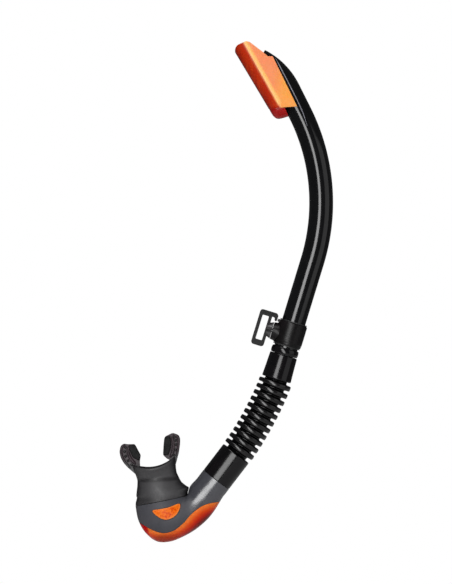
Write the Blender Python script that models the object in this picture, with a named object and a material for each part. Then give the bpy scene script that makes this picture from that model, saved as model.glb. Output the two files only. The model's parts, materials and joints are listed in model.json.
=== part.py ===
"""A snorkel: a curved barrel with a splash guard, a strap keeper, a hose, a purge chamber and a mouthpiece.

Dimensions are in millimetres and MM turns them into metres. +Z is up, +X points away from the mouth, and
barrel, hose and chamber are symmetric about the plane Y = 0. The origin is the middle of the strap slot's
outer wall.
"""

import math

import bmesh
import bpy
from mathutils import Matrix, Vector

MM = 0.001
SIDES = 20  # round parts
FINE = 28  # running fits, where flats matter
HOSE_SIDES = 16
GAP = 0.3  # clearance between touching parts

# Barrel: a straight foot, one long arc, a straight top, and a back wall that curls over the mouth
BARREL_TILT = 17.0
BARREL_OFFSET = 29.3  # from the strap slot to the barrel's axis
BARREL_RADIUS = 11.0
BARREL_BORE = 9.3
BARREL_FOOT = -13.0
STRAIGHT_TO = 72.0
ARC_RADIUS = 184.0
TOP_TILT = -26.6
TOP_STRAIGHT = 24.0
CURL_RADIUS = 60.0
CURL_TILT = -63.0

# Splash guard, in a frame along the barrel's top: its mouth edge lies on the barrel's axis
GUARD_AT = (33.9, 201.4)
GUARD_TILT = -26.0
GUARD_HALF_WIDTH = 13.6
GUARD_WALL = 1.5
GUARD_DEPTH, GUARD_FOOT_DEPTH, GUARD_HEIGHT = 28.5, 22.2, 74.6
CHIN_HALF_WIDTH, CHIN_BACK = 11.0, 9.8

# Strap keeper
COLLAR_BOTTOM, COLLAR_TOP = -9.3, 12.2
COLLAR_RADIUS = 13.4
SLEEVE_RADIUS = 11.95
SLOT_WIDTH, SLOT_HALF_LENGTH = 6.1, 11.5
CLIP_HALF_DEPTH = 5.0
PIN_RADIUS = 1.8

# Hose: plain ends held in two hard cuffs, with ribs between them
UPPER_CUFF_TOP, UPPER_CUFF_BOTTOM = -18.5, -41.7
HOSE_BORE = 9.1
HOSE_ROOT = 10.4
RIB_RADIUS = 15.3
RIB_WIDTH = 4.2
RIB_PITCH = 6.8
RIB_COUNT = 11
FIRST_RIB = 4.6
HOSE_END = 12.0  # length of plain hose inside each cuff
HOSE_STIFF_TOP = 0.55  # below 1, the hose bends more near its top

# Swivel between the hose and the purge chamber: origin at the chamber's round mouth
SWIVEL_AT = (-39.5, -140.9)
SWIVEL_TILT = 37.5
CUFF_LENGTH = 30.2
CUFF_RADIUS = 14.65
CHAMBER_MOUTH = 14.7
SWIVEL_BORE = 11.7

# Purge chamber and mouthpiece: the port's frame has Z into the mouth and X across it
PORT_AT = (-89.7, -160.2)
PORT_TILT = -11.1
PORT_HALF_WIDTH, PORT_HALF_DEPTH = 24.4, 16.6
WALL = 3.6
SKIN = 1.8  # thickness of the coloured covers let into the chamber
PURGE_DEPTH = 27.5  # from the port's plane to the purge valve's seat
VALVE_BORE = 9.5


def material(name, colour, roughness, metallic=0.0):
    made = bpy.data.materials.new(name)
    made.use_nodes = True
    shader = made.node_tree.nodes["Principled BSDF"]
    shader.inputs["Base Color"].default_value = (*colour, 1.0)
    shader.inputs["Roughness"].default_value = roughness
    shader.inputs["Metallic"].default_value = metallic
    return made


def frame_at(x, z, tilt):
    """A frame in the plane Y = 0 whose Z axis leans by tilt degrees from vertical towards +X."""
    return Matrix.Translation((x * MM, 0, z * MM)) @ Matrix.Rotation(math.radians(tilt), 4, "Y")


def barrel_frame():
    lean = math.radians(BARREL_TILT)
    return frame_at(BARREL_OFFSET * math.cos(lean), -BARREL_OFFSET * math.sin(lean), BARREL_TILT)


CLIP = frame_at(0, 0, BARREL_TILT)
PIVOT = CLIP @ Matrix.Rotation(math.radians(90), 4, "Y")  # Z runs from the strap slot to the barrel
BARREL = barrel_frame()
GUARD = frame_at(*GUARD_AT, GUARD_TILT)
SWIVEL = frame_at(*SWIVEL_AT, SWIVEL_TILT)
PORT = frame_at(*PORT_AT, PORT_TILT)
PURGE = PORT @ Matrix.Rotation(math.pi, 4, "Y")  # Z points out through the purge valve


def add(name, bm, frame, finish=None, smooth=40):
    """An object from a mesh made in the frame's own axes, in millimetres."""
    bmesh.ops.scale(bm, vec=(MM, MM, MM), verts=bm.verts)
    bmesh.ops.recalc_face_normals(bm, faces=bm.faces)
    mesh = bpy.data.meshes.new(name)
    bm.to_mesh(mesh)
    bm.free()
    mesh.shade_smooth()
    mesh.set_sharp_from_angle(angle=math.radians(smooth))
    made = bpy.data.objects.new(name, mesh)
    made.matrix_world = frame
    bpy.context.scene.collection.objects.link(made)
    if finish:
        mesh.materials.append(finish)
    else:
        made.hide_render = True
        made.display_type = "WIRE"
    return made


def boolean(target, other, operation):
    """A live Boolean; the other object is a helper, so it is left out of renders."""
    other.hide_render = True
    other.display_type = "WIRE"
    modifier = target.modifiers.new(f"{operation.lower()} {other.name}", "BOOLEAN")
    modifier.operation = operation
    modifier.object = other


def lofted(rings, loop=False):
    """Rings of equally many points bridged in order, then back to the first, or closed by flat ends."""
    bm = bmesh.new()
    made = [[bm.verts.new(point) for point in ring] for ring in rings]
    pairs = list(zip(made, made[1:]))
    if loop:
        pairs.append((made[-1], made[0]))
    else:
        bm.faces.new(made[0])
        bm.faces.new(made[-1])
    for low, high in pairs:
        for i in range(len(low)):
            j = (i + 1) % len(low)
            bm.faces.new((low[i], low[j], high[j], high[i]))
    return bm


def circle(radius, z, sides=SIDES):
    """A ring about Z."""
    turns = [2 * math.pi * i / sides for i in range(sides)]
    return [Vector((radius * math.cos(a), radius * math.sin(a), z)) for a in turns]


def turned(profile, sides=SIDES):
    """A ring turned about Z from a closed outline of (radius, z) that keeps off the axis."""
    return lofted([circle(radius, z, sides) for radius, z in profile], loop=True)


def turned_solid(profile, sides=SIDES):
    """A solid turned about Z from an open outline of (radius, z), closed by flat ends."""
    return lofted([circle(radius, z, sides) for radius, z in profile])


def prism(outline, y_low, y_high):
    """An outline of (x, z) points extruded along Y."""
    return lofted([[Vector((x, y, z)) for x, z in outline] for y in (y_low, y_high)])


def arc(centre, radius, start, end, steps):
    """Points on an arc in the XZ plane, with angles in degrees from +X towards +Z."""
    turns = [math.radians(start + (end - start) * i / steps) for i in range(steps + 1)]
    return [(centre[0] + radius * math.cos(a), centre[1] + radius * math.sin(a)) for a in turns]


def rounded_box(x_low, x_high, z_low, z_high, radius, steps=4):
    corners = (
        ((x_high - radius, z_high - radius), 0),
        ((x_low + radius, z_high - radius), 90),
        ((x_low + radius, z_low + radius), 180),
        ((x_high - radius, z_low + radius), 270),
    )
    return [point for centre, start in corners for point in arc(centre, radius, start, start + 90, steps)]


def smooth_curve(points, steps):
    """Points on a Catmull-Rom curve through the given ones, ends included."""
    ends = [points[0], *points, points[-1]]
    found = []
    for a, b, c, d in zip(ends, ends[1:], ends[2:], ends[3:]):
        for i in range(steps):
            t = i / steps
            point = []
            for p, q, r, s in zip(a, b, c, d):
                bend, twist = 2 * p - 5 * q + 4 * r - s, 3 * q - p - 3 * r + s
                point.append(0.5 * (2 * q + (r - p) * t + bend * t**2 + twist * t**3))
            found.append(tuple(point))
    found.append(tuple(points[-1]))
    return found


def path_ring(x, z, tilt, radius, sides=SIDES, depth=None):
    """A round or oval ring across a path in the plane Y = 0 at (x, z), heading tilt degrees from vertical."""
    across = Vector((math.cos(math.radians(tilt)), 0, -math.sin(math.radians(tilt))))
    centre = Vector((x, 0, z))
    depth = radius if depth is None else depth
    turns = [2 * math.pi * i / sides for i in range(sides)]
    return [centre + across * radius * math.cos(a) + Vector((0, depth * math.sin(a), 0)) for a in turns]


# ---------------------------------------------------------------- barrel and splash guard


def barrel_path():
    """(x, z, tilt) along the barrel in world millimetres, from its foot to the tip of its back wall."""
    start = BARREL @ Vector((0, 0, BARREL_FOOT * MM))
    x, z, tilt = start.x / MM, start.z / MM, BARREL_TILT
    arc_length = ARC_RADIUS * math.radians(BARREL_TILT - TOP_TILT)
    curl_length = CURL_RADIUS * math.radians(TOP_TILT - CURL_TILT)
    stretches = (
        (STRAIGHT_TO - BARREL_FOOT, 0.0, 3),
        (arc_length, TOP_TILT - BARREL_TILT, 12),
        (TOP_STRAIGHT, 0.0, 2),
        (curl_length, CURL_TILT - TOP_TILT, 5),
    )
    stations = [(x, z, tilt)]
    for length, turn, steps in stretches:
        for _ in range(steps):
            middle = math.radians(tilt + turn / steps / 2)
            chord = length / steps
            x += chord * math.sin(middle)
            z += chord * math.cos(middle)
            tilt += turn / steps
            stations.append((x, z, tilt))
    return stations


def guard_to_world(points):
    """Points of the splash guard's frame, as (front, up), in world millimetres."""
    found = [GUARD @ Vector((-front * MM, 0, up * MM)) for front, up in points]
    return [(p.x / MM, p.z / MM) for p in found]


def make_barrel(finish):
    """A hollow tube whose front is cut away at the top, so that only its back wall reaches the tip."""
    path = barrel_path()
    outside = [path_ring(*station, BARREL_RADIUS) for station in path]
    inside = [path_ring(*station, BARREL_BORE) for station in reversed(path)]
    barrel = add("barrel", lofted(outside + inside, loop=True), Matrix.Identity(4), finish)
    mouth = ((16, 4), (0.4, 16), (0, 26), (0.2, 38), (0.6, 46), (2.2, 52), (5.2, 58), (14, 72))
    mouth += ((40, 72), (40, 4))
    cutter = add("barrel_mouth_cut", prism(guard_to_world(mouth), -20, 20), Matrix.Identity(4))
    boolean(barrel, cutter, "DIFFERENCE")


def guard_outline(inset):
    """The guard's side view as (front, up): slanting foot, rounded top, sloping shoulder, barrel step."""
    front, top = GUARD_DEPTH - 0.4 - inset, GUARD_HEIGHT - inset
    round_off = [math.pi * i / 6 for i in range(4)]
    nose = [(front - 5.6 + 5.6 * math.cos(a), top - 5.6 + 5.6 * math.sin(a)) for a in round_off]
    shoulder = [(15.0, top - 0.4), (12.4 - inset, top - 2.4), (10.7 - inset, top - 5.8)]
    shoulder += [(5.2, 57.8 - inset), (3.2, 53.0 - inset)]
    if inset:
        foot = [(CHIN_BACK - 1.2, -10.0), (CHIN_BACK - 1.2, 9.0), (guard_front(11) - inset, 11.0)]
        return nose + shoulder + [(-30.0, 51.0 - inset), (-30.0, -10.0), *foot]
    return nose + shoulder + [(-0.8, 51.0), (-0.8, 0.0), (13.6, 5.8), (guard_front(9.6), 9.6)]


def guard_front(up):
    """How far the guard's nose stands in front of the barrel's axis: it leans out towards the top."""
    return GUARD_FOOT_DEPTH + (GUARD_DEPTH - GUARD_FOOT_DEPTH) * up / GUARD_HEIGHT


def guard_cheek(up):
    """Where the guard's flat sides turn into its rounded nose."""
    return guard_front(up) - 10.6 - 0.03 * up


def u_section(inset, z, steps=8):
    """The guard's cross-section at height z: flat sides and a half-oval nose."""
    half_width, depth = GUARD_HALF_WIDTH - inset, guard_front(z) - guard_cheek(z) - inset
    turns = [math.pi / 2 - math.pi * i / steps for i in range(steps + 1)]
    nose = [(guard_cheek(z) + depth * math.cos(a), half_width * math.sin(a)) for a in turns]
    back = -31.0 if inset else -1.0
    return [Vector((-f, y, z)) for f, y in [(back, half_width), *nose, (back, -half_width)]]


def guard_form(name, inset):
    """The guard's outside, or with an inset its hollow: side view and cross-section intersected."""
    form = add(name, lofted([u_section(inset, z) for z in (-20, 90)]), GUARD)
    side = add(f"{name}_side", prism([(-f, z) for f, z in guard_outline(inset)], -20, 20), GUARD)
    boolean(form, side, "INTERSECT")
    return form


def chin_form(name, inset):
    """The rounded lip below the guard's nose, back to the barrel; it is lowest in the middle."""
    bowl = ((guard_front(12) - 0.4, 12.0), (22.6, 5.0), (21.6, 0.6), (18.6, -2.6), (CHIN_BACK, -4.4))
    half_width = CHIN_HALF_WIDTH - inset
    cheek = guard_cheek(0)
    rings = []
    for i in range(-6, 7):
        across = i / 6
        lift = 0.62 * (1 - math.sqrt(1 - across * across))
        nose = math.sqrt(1 - (across * half_width / GUARD_HALF_WIDTH) ** 2)
        ring = []
        for front, up in bowl:
            drawn_in = nose if front > cheek else 1.0
            ring.append((cheek + (front - cheek) * drawn_in, up + lift * (12 - up)))
        ring += [(CHIN_BACK, 12.6 + inset), (ring[0][0] - 0.3, 12.6 + inset)]
        rings.append([Vector((inset - front, across * half_width, up + inset)) for front, up in ring])
    return add(name, lofted(rings), GUARD)


def make_splash_guard(finish):
    guard = guard_form("splash_guard", 0.0)
    guard.data.materials.append(finish)
    boolean(guard, chin_form("guard_chin", 0.0), "UNION")
    boolean(guard, guard_form("guard_hollow", GUARD_WALL), "DIFFERENCE")
    boolean(guard, chin_form("chin_hollow", GUARD_WALL), "DIFFERENCE")
    clear = [path_ring(*station, BARREL_RADIUS + 2 * GAP) for station in barrel_path()[10:]]
    boolean(guard, add("guard_barrel_clearance", lofted(clear), Matrix.Identity(4)), "DIFFERENCE")
    show(guard)


def show(made):
    """Makes a helper a real part again."""
    made.hide_render = False
    made.display_type = "TEXTURED"


def make_splash_baffle(finish):
    """A curved deflector in front of the barrel's mouth, with a drain notch at its foot."""
    inner, outer, reach = 12.2, 13.2, 58.0
    turns = [math.radians(-reach + 2 * reach * i / 10) for i in range(11)]
    section = [(outer * math.cos(a), outer * math.sin(a)) for a in turns]
    section += [(inner * math.cos(a), inner * math.sin(a)) for a in reversed(turns)]
    rings = [[Vector((-(front + 1.2), y, z)) for front, y in section] for z in (9.8, 48.0)]
    add("splash_baffle", lofted(rings), GUARD, finish)


# ---------------------------------------------------------------- strap keeper


def make_keeper_sleeve(finish):
    """A thin bush that grips the barrel; its two rims keep the collar from sliding off it."""
    bore = BARREL_RADIUS + GAP
    low, high = COLLAR_BOTTOM - GAP, COLLAR_TOP + GAP
    rim = 0.8
    profile = (
        (bore, low - rim),
        (12.6, low - rim),
        (12.6, low),
        (SLEEVE_RADIUS, low),
        (SLEEVE_RADIUS, high),
        (12.7, high),
        (12.7, high + rim),
        (bore, high + rim),
    )
    add("keeper_sleeve", turned(profile, FINE), BARREL, finish)


def make_keeper_collar(finish):
    """A ring with a rounded shoulder at each end and a boss for the clip's pivot."""
    bore = SLEEVE_RADIUS + GAP
    profile = (
        (bore, COLLAR_BOTTOM),
        (12.75, COLLAR_BOTTOM),
        (13.1, COLLAR_BOTTOM + 1.6),
        (COLLAR_RADIUS, COLLAR_BOTTOM + 4.5),
        (COLLAR_RADIUS, COLLAR_TOP - 1.6),
        (12.95, COLLAR_TOP - 0.3),
        (12.8, COLLAR_TOP),
        (bore, COLLAR_TOP),
    )
    collar = add("keeper_collar", turned(profile, FINE), BARREL, finish)
    boss = ((7.9, 12.6), (8.2, 14.2), (8.8, 17.6), (8.8, 20.0))
    boss = add("collar_boss", turned_solid(boss), PIVOT)
    boolean(collar, boss, "UNION")
    clear = add("collar_bore_cut", turned_solid(((bore, -30), (bore, 30)), FINE), BARREL)
    boolean(collar, clear, "DIFFERENCE")
    hole = turned_solid(((PIN_RADIUS + GAP, 5.0), (PIN_RADIUS + GAP, 20.0)), 16)
    hole = add("collar_pin_hole", hole, PIVOT)
    boolean(collar, hole, "DIFFERENCE")


def make_strap_clip(finish):
    """A frame round the strap slot, with a pivot boss and a hook that stops the strap slipping off."""
    outline = rounded_box(-3.1, 8.9, -16.9, 16.4, 2.6)
    frame = add("strap_clip", prism(outline, -CLIP_HALF_DEPTH, CLIP_HALF_DEPTH), CLIP, finish)
    hook_outline = [(4.0, 16.4), (4.0, 12.0), (12.0, 12.0), (11.9, 9.3), *arc((13.0, 10.0), 1.2, 230, 340, 3)]
    hook_outline += arc((12.2, 14.4), 2.0, 0, 90, 4)
    boolean(frame, add("clip_hook", prism(hook_outline, -4.0, 4.0), CLIP), "UNION")
    boss = turned_solid(((6.2, 7.0), (6.7, 9.6), (7.8, 12.2)))
    boolean(frame, add("clip_boss", boss, PIVOT), "UNION")
    slot = prism(rounded_box(0, SLOT_WIDTH, -SLOT_HALF_LENGTH, SLOT_HALF_LENGTH, 0.8, 2), -9, 9)
    boolean(frame, add("clip_slot", slot, CLIP), "DIFFERENCE")
    hole = turned_solid(((3.7, 5.0), (3.7, 7.8), (PIN_RADIUS + GAP, 7.8), (PIN_RADIUS + GAP, 20.0)), 20)
    boolean(frame, add("clip_pin_hole", hole, PIVOT), "DIFFERENCE")
    edges = frame.modifiers.new("softened edges", "BEVEL")
    edges.width = 0.5 * MM
    edges.segments = 1
    edges.limit_method = "ANGLE"
    edges.angle_limit = math.radians(60)


def make_pivot_pin(finish):
    """A rivet through the clip's boss into the collar, its head sunk in the slot's wall."""
    profile = ((3.3, 6.4), (3.4, 7.4), (PIN_RADIUS, 7.4), (PIN_RADIUS, 16.2))
    add("keeper_pivot_pin", turned_solid(profile, 16), PIVOT, finish)


# ---------------------------------------------------------------- hose and its couplings


def hose_path(steps):
    """(x, z, tilt) down the hose in world millimetres, from inside the upper cuff to inside the lower one."""
    top = BARREL @ Vector((0, 0, UPPER_CUFF_BOTTOM * MM))
    foot = SWIVEL @ Vector((0, 0, CUFF_LENGTH * MM))
    run = (top - foot).length
    down = BARREL.to_3x3() @ Vector((0, 0, -run))
    on = SWIVEL.to_3x3() @ Vector((0, 0, -run))
    stations = []
    for i in range(steps + 1):
        t = i / steps
        point = (
            top * (2 * t**3 - 3 * t**2 + 1)
            + down * (t**3 - 2 * t**2 + t) * HOSE_STIFF_TOP
            + foot * (3 * t**2 - 2 * t**3)
            + on * (t**3 - t**2)
        )
        heading = top * (6 * t**2 - 6 * t) + down * (3 * t**2 - 4 * t + 1) * HOSE_STIFF_TOP
        heading += foot * (6 * t - 6 * t**2) + on * (3 * t**2 - 2 * t)
        stations.append((point.x / MM, point.z / MM, math.degrees(math.atan2(-heading.x, -heading.z))))
    return stations


def hose_length():
    path = hose_path(40)
    return sum(math.dist(a[:2], b[:2]) for a, b in zip(path, path[1:]))


def hose_station(distance):
    """The hose's middle at a distance down from the upper cuff; beyond its ends it runs on straight."""
    path = hose_path(40)
    travelled = 0.0
    if distance < 0:
        x, z, tilt = path[0]
        lean = math.radians(tilt)
        return x - distance * math.sin(lean), z - distance * math.cos(lean), tilt
    for a, b in zip(path, path[1:]):
        step = math.dist(a[:2], b[:2])
        if travelled + step >= distance:
            t = (distance - travelled) / step
            return tuple(p + (q - p) * t for p, q in zip(a, b))
        travelled += step
    x, z, tilt = path[-1]
    lean = math.radians(tilt)
    over = distance - travelled
    return x - over * math.sin(lean), z - over * math.cos(lean), tilt


def make_flex_hose(finish):
    """One silicone moulding: a smooth bore, plain ends, and square ribs with rounded corners."""
    length = hose_length()
    outside = [(-HOSE_END, HOSE_ROOT)]
    for i in range(RIB_COUNT):
        middle = FIRST_RIB + i * RIB_PITCH
        half = RIB_WIDTH / 2
        outside += [(middle - half - 0.4, HOSE_ROOT), (middle - half, RIB_RADIUS)]
        outside += [(middle + half, RIB_RADIUS), (middle + half + 0.4, HOSE_ROOT)]
    outside.append((length + HOSE_END, HOSE_ROOT))
    inside = [(length + HOSE_END, HOSE_BORE)]
    inside += [(length * (1 - i / 5), HOSE_BORE) for i in range(6)]
    inside.append((-HOSE_END, HOSE_BORE))
    rings = [path_ring(*hose_station(at), radius, HOSE_SIDES) for at, radius in outside + inside]
    add("flex_hose", lofted(rings, loop=True), Matrix.Identity(4), finish)


def make_upper_coupling(ring_finish, spigot_finish, seal_finish, cuff_finish):
    """A lock ring, the spigot that joins barrel and hose, its O-ring, and the cuff over the hose's end."""
    ring = ((11.4, -18.1), (12.2, -18.1), (12.6, -17.6), (12.6, -12.4), (12.2, -11.8), (11.4, -11.8))
    add("coupling_ring", turned(ring), BARREL, ring_finish)
    spigot = (
        (7.4, -38.0),
        (8.4, -38.0),
        (8.8, -36.5),
        (8.8, -18.3),
        (11.0, -18.3),
        (11.0, -13.3),
        (9.0, -13.3),
        (9.0, -9.4),
        (8.0, -9.4),
        (8.0, -7.4),
        (9.0, -7.4),
        (9.0, -5.0),
        (7.4, -5.0),
    )
    add("hose_spigot", turned(spigot), BARREL, spigot_finish)
    turns = [math.tau * i / 8 for i in range(8)]
    seal = [(8.62 + 0.48 * math.cos(a), -8.4 + 0.7 * math.sin(a)) for a in turns]
    add("coupling_seal", turned(seal, 24), BARREL, seal_finish)
    cuff = (
        (10.8, UPPER_CUFF_BOTTOM),
        (13.2, UPPER_CUFF_BOTTOM),
        (13.75, UPPER_CUFF_BOTTOM + 0.9),
        (12.8, UPPER_CUFF_TOP - 0.6),
        (12.4, UPPER_CUFF_TOP - 0.1),
        (9.2, UPPER_CUFF_TOP - 0.1),
        (9.2, UPPER_CUFF_TOP - 2.0),
        (10.8, UPPER_CUFF_TOP - 3.5),
    )
    add("upper_hose_cuff", turned(cuff), BARREL, cuff_finish)


def make_lower_coupling(cuff_finish, spigot_finish, seal_finish):
    """The cuff over the hose's foot, and the swivel spigot that turns in the chamber's mouth."""
    cuff = (
        (11.2, GAP),
        (14.2, GAP),
        (CUFF_RADIUS, GAP + 0.5),
        (CUFF_RADIUS, CUFF_LENGTH - 0.6),
        (14.1, CUFF_LENGTH),
        (10.8, CUFF_LENGTH),
        (10.8, 3.0),
        (11.2, 3.0),
    )
    add("lower_hose_cuff", turned(cuff, FINE), SWIVEL, cuff_finish)
    spigot = (
        (7.6, -9.0),
        (10.9, -9.0),
        (11.3, -8.4),
        (11.3, -5.6),
        (10.2, -5.6),
        (10.2, -3.4),
        (11.3, -3.4),
        (11.3, -1.2),
        (10.5, -1.2),
        (10.5, 17.4),
        (8.8, 17.4),
        (8.8, 26.0),
        (8.4, 27.5),
        (7.6, 27.5),
    )
    add("swivel_spigot", turned(spigot, FINE), SWIVEL, spigot_finish)
    turns = [math.tau * i / 8 for i in range(8)]
    seal = [(10.95 + 0.5 * math.cos(a), -4.5 + 0.75 * math.sin(a)) for a in turns]
    add("swivel_seal", turned(seal, FINE), SWIVEL, seal_finish)


# ---------------------------------------------------------------- purge chamber


def chamber_stations():
    """(inner x, inner z, outer x, outer z, half depth) of the chamber's rings, from the swivel's mouth.

    The rings fan round the crotch between swivel and port, and the last lies in the port's plane.
    """
    lean = math.radians(SWIVEL_TILT)
    across = (CHAMBER_MOUTH * math.cos(lean), -CHAMBER_MOUTH * math.sin(lean))
    stations = []
    for down in (0.0, 10.0):
        x, z = SWIVEL_AT[0] - down * math.sin(lean), SWIVEL_AT[1] - down * math.cos(lean)
        stations.append((x - across[0], z - across[1], x + across[0], z + across[1], CHAMBER_MOUTH))
    fan = (
        (-62.9, -146.1, -41.2, -169.6, 15.0),
        (-64.4, -149.6, -48.4, -178.3, 15.6),
        (-64.9, -151.0, -58.8, -187.0, 16.4),
        (-65.2, -152.3, -70.4, -193.6, 17.4),
        (-65.4, -153.4, -82.4, -198.0, 18.2),
        (-65.4, -154.3, -94.4, -197.6, 18.5),
        (-65.4, -155.0, -104.8, -189.4, 18.4),
        (-65.5, -155.4, -111.2, -178.0, 17.8),
        (-65.8, -155.5, -113.7, -164.9, PORT_HALF_DEPTH),
    )
    return stations + list(fan)


def station_ring(station, inset, sides=SIDES):
    inner_x, inner_z, outer_x, outer_z, half_depth = station
    inner, outer = Vector((inner_x, 0, inner_z)), Vector((outer_x, 0, outer_z))
    centre, half = (inner + outer) / 2, (outer - inner) / 2
    half *= (half.length - inset) / half.length
    depth = half_depth - inset
    turns = [2 * math.pi * i / sides for i in range(sides)]
    return [centre + half * math.cos(a) + Vector((0, depth * math.sin(a), 0)) for a in turns]


def port_ring(inset, z, sides=SIDES):
    """A ring of the port, in world millimetres, z above its plane."""
    turns = [math.pi + 2 * math.pi * i / sides for i in range(sides)]
    width, depth = PORT_HALF_WIDTH - inset, PORT_HALF_DEPTH - inset
    local = [Vector((width * math.cos(a), -depth * math.sin(a), z)) for a in turns]
    return [(PORT @ (point * MM)) / MM for point in local]


def chamber_form(name, inset):
    """The chamber's whole outside, or a smaller copy of it, as a solid."""
    rings = [station_ring(station, inset) for station in chamber_stations()]
    if inset > 0:
        rings.insert(0, [p + (a - b) for p, a, b in zip(rings[0], rings[0], rings[1])])
        rings.append(port_ring(inset, 6.0))
    return add(name, lofted(rings), Matrix.Identity(4))


def cover_outline(shift):
    """The side view of the orange purge cover's space, world millimetres; shift moves its upper edge down."""
    edge = smooth_curve(
        (
            (-122.0, -176.0),
            (-110.0, -180.2),
            (-101.5, -184.6),
            (-93.6, -187.8),
            (-86.0, -188.8),
            (-77.8, -186.2),
            (-69.0, -179.2),
            (-63.1, -172.3),
            (-54.2, -165.2),
            (-45.5, -161.8),
            (-36.0, -160.8),
            (-20.0, -160.0),
        ),
        3,
    )
    return [(x, z - shift) for x, z in edge] + [(-20.0, -215.0), (-122.0, -215.0)]


def inlay_outline(inset):
    """The half-moon inlay on each side of the chamber."""
    corners = ((-98.0, -168.6), (-91.0, -166.8), (-82.0, -164.8), (-74.0, -162.0), (-72.0, -163.6))
    corners += ((-73.8, -169.4), (-78.4, -174.4), (-85.2, -176.8), (-92.4, -174.4))
    middle = Vector((-84.4, -169.6))
    found = []
    for corner in corners:
        away = Vector(corner) - middle
        found.append(tuple(middle + away * (1 - inset / away.length)))
    return found


def purge_cutter():
    """The purge valve's well: a ledge for the seat, then a plain bore out through the wall."""
    ledge = PURGE_DEPTH - 2.7
    return turned_solid(((7.2, ledge - 6), (7.2, ledge), (VALVE_BORE, ledge), (VALVE_BORE, 45.0)), SIDES)


def make_chamber(finish):
    """The rigid body: a round mouth, an elbow that widens into a bulb, an oval port and the valve's well."""
    outside = [station_ring(station, 0.0) for station in chamber_stations()]
    neck = [port_ring(2.9, 0.0), port_ring(2.9, 8.0), port_ring(2.9 + 1.6, 8.0), port_ring(2.9 + 1.6, 0.0)]
    inside = [station_ring(station, WALL) for station in reversed(chamber_stations()[2:-1])]
    bore = CHAMBER_MOUTH - SWIVEL_BORE
    inside += [station_ring(station, bore) for station in reversed(chamber_stations()[:2])]
    chamber = add("chamber_body", lofted(outside + neck + inside, loop=True), Matrix.Identity(4), finish)
    well = add("valve_well", turned_solid(((11.2, PURGE_DEPTH - 4.4), (11.2, 33.0))), PURGE)
    boolean(well, chamber_form("well_trim", SKIN + GAP), "INTERSECT")
    boolean(chamber, well, "UNION")
    for name, outline in (("cover_recess", cover_outline(0.0)), ("inlay_recess", inlay_outline(-GAP))):
        recess = add(name, prism(outline, -25, 25), Matrix.Identity(4))
        boolean(recess, chamber_form(f"{name}_floor", SKIN + GAP), "DIFFERENCE")
        boolean(chamber, recess, "DIFFERENCE")
    boolean(chamber, add("valve_well_bore", purge_cutter(), PURGE), "DIFFERENCE")


def make_skin_piece(name, outline, sides, finish):
    """A cover let into the chamber: flush with it outside, and resting on the recess's floor inside."""
    piece = chamber_form(name, 0.0)
    piece.data.materials.append(finish)
    boolean(piece, add(f"{name}_outline", prism(outline, *sides), Matrix.Identity(4)), "INTERSECT")
    boolean(piece, chamber_form(f"{name}_back", SKIN), "DIFFERENCE")
    show(piece)
    return piece


def make_purge_cover(finish):
    cover = make_skin_piece("purge_cover", cover_outline(GAP), (-25, 25), finish)
    for number, y in enumerate((-5.4, -1.9, 1.9, 5.4)):
        slot = prism(rounded_box(-11, 11, 20, 50, 1.0, 2), y - 0.9, y + 0.9)
        boolean(cover, add(f"cover_vent_{number}", slot, PURGE), "DIFFERENCE")


def make_purge_seat(finish):
    """A spoked disc on the well's ledge, with a hub that holds the valve's stem."""
    low, high = PURGE_DEPTH - 2.4, PURGE_DEPTH
    rim = ((6.9, low), (VALVE_BORE - GAP, low), (VALVE_BORE - GAP, high), (6.9, high))
    seat = add("purge_seat", turned(rim), PURGE, finish)
    for number in range(2):
        spoke = prism(rounded_box(-7.6, 7.6, low + 0.2, high - 0.2, 0.1, 1), -0.8, 0.8)
        frame = PURGE @ Matrix.Rotation(math.radians(90 * number), 4, "Z")
        boolean(seat, add(f"seat_spoke_{number}", spoke, frame), "UNION")
    boolean(seat, add("seat_hub", turned_solid(((2.6, low), (2.6, high - 0.1)), 16), PURGE), "UNION")
    boolean(seat, add("seat_stem_hole", turned_solid(((1.4, 0), (1.4, 40)), 16), PURGE), "DIFFERENCE")


def make_purge_valve(finish):
    """A soft mushroom: a thin domed disc on the seat's outside and a stem with a bead inside."""
    seat = PURGE_DEPTH
    profile = (
        (0.5, seat - 5.6),
        (2.0, seat - 5.0),
        (2.0, seat - 4.0),
        (1.1, seat - 3.8),
        (1.1, seat + 0.3),
        (8.2, seat + 0.3),
        (8.4, seat + 0.6),
        (3.0, seat + 1.5),
        (0.8, seat + 1.7),
    )
    add("purge_valve", turned_solid(profile, 24), PURGE, finish)


# ---------------------------------------------------------------- mouthpiece


def mouth_ring(half_width, half_depth, height, bow=0.0, shift=0.0, sides=SIDES):
    """An oval ring in the port's frame; bow lifts its sides to follow the teeth, shift moves it across."""
    turns = [math.pi + 2 * math.pi * i / sides for i in range(sides)]
    points = [(half_width * math.cos(a), half_depth * math.sin(a)) for a in turns]
    return [Vector((x + shift, y, height + bow * x * x)) for x, y in points]


def right_tab():
    """The bite tab nearer the hose: its outline and its thicker lug's, in the port's frame."""
    outer = ((19.2, 30.0), (21.8, 35.4), (24.6, 41.8), (26.8, 48.0), (27.8, 53.0), (27.0, 56.2), (22.0, 59.2))
    inner = ((19.2, 58.5), (14.5, 57.2), (13.3, 55.4), (11.5, 49.4), (9.7, 42.4), (9.6, 40.6), (12.4, 36.8))
    lug = ((19.0, 56.8), (14.6, 57.0), (13.5, 55.2), (11.7, 49.4), (9.9, 42.4), (10.0, 41.0), (14.0, 40.6))
    return outer + inner + ((15.0, 35.0),), lug + ((17.2, 45.6), (18.8, 51.0))


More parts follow.
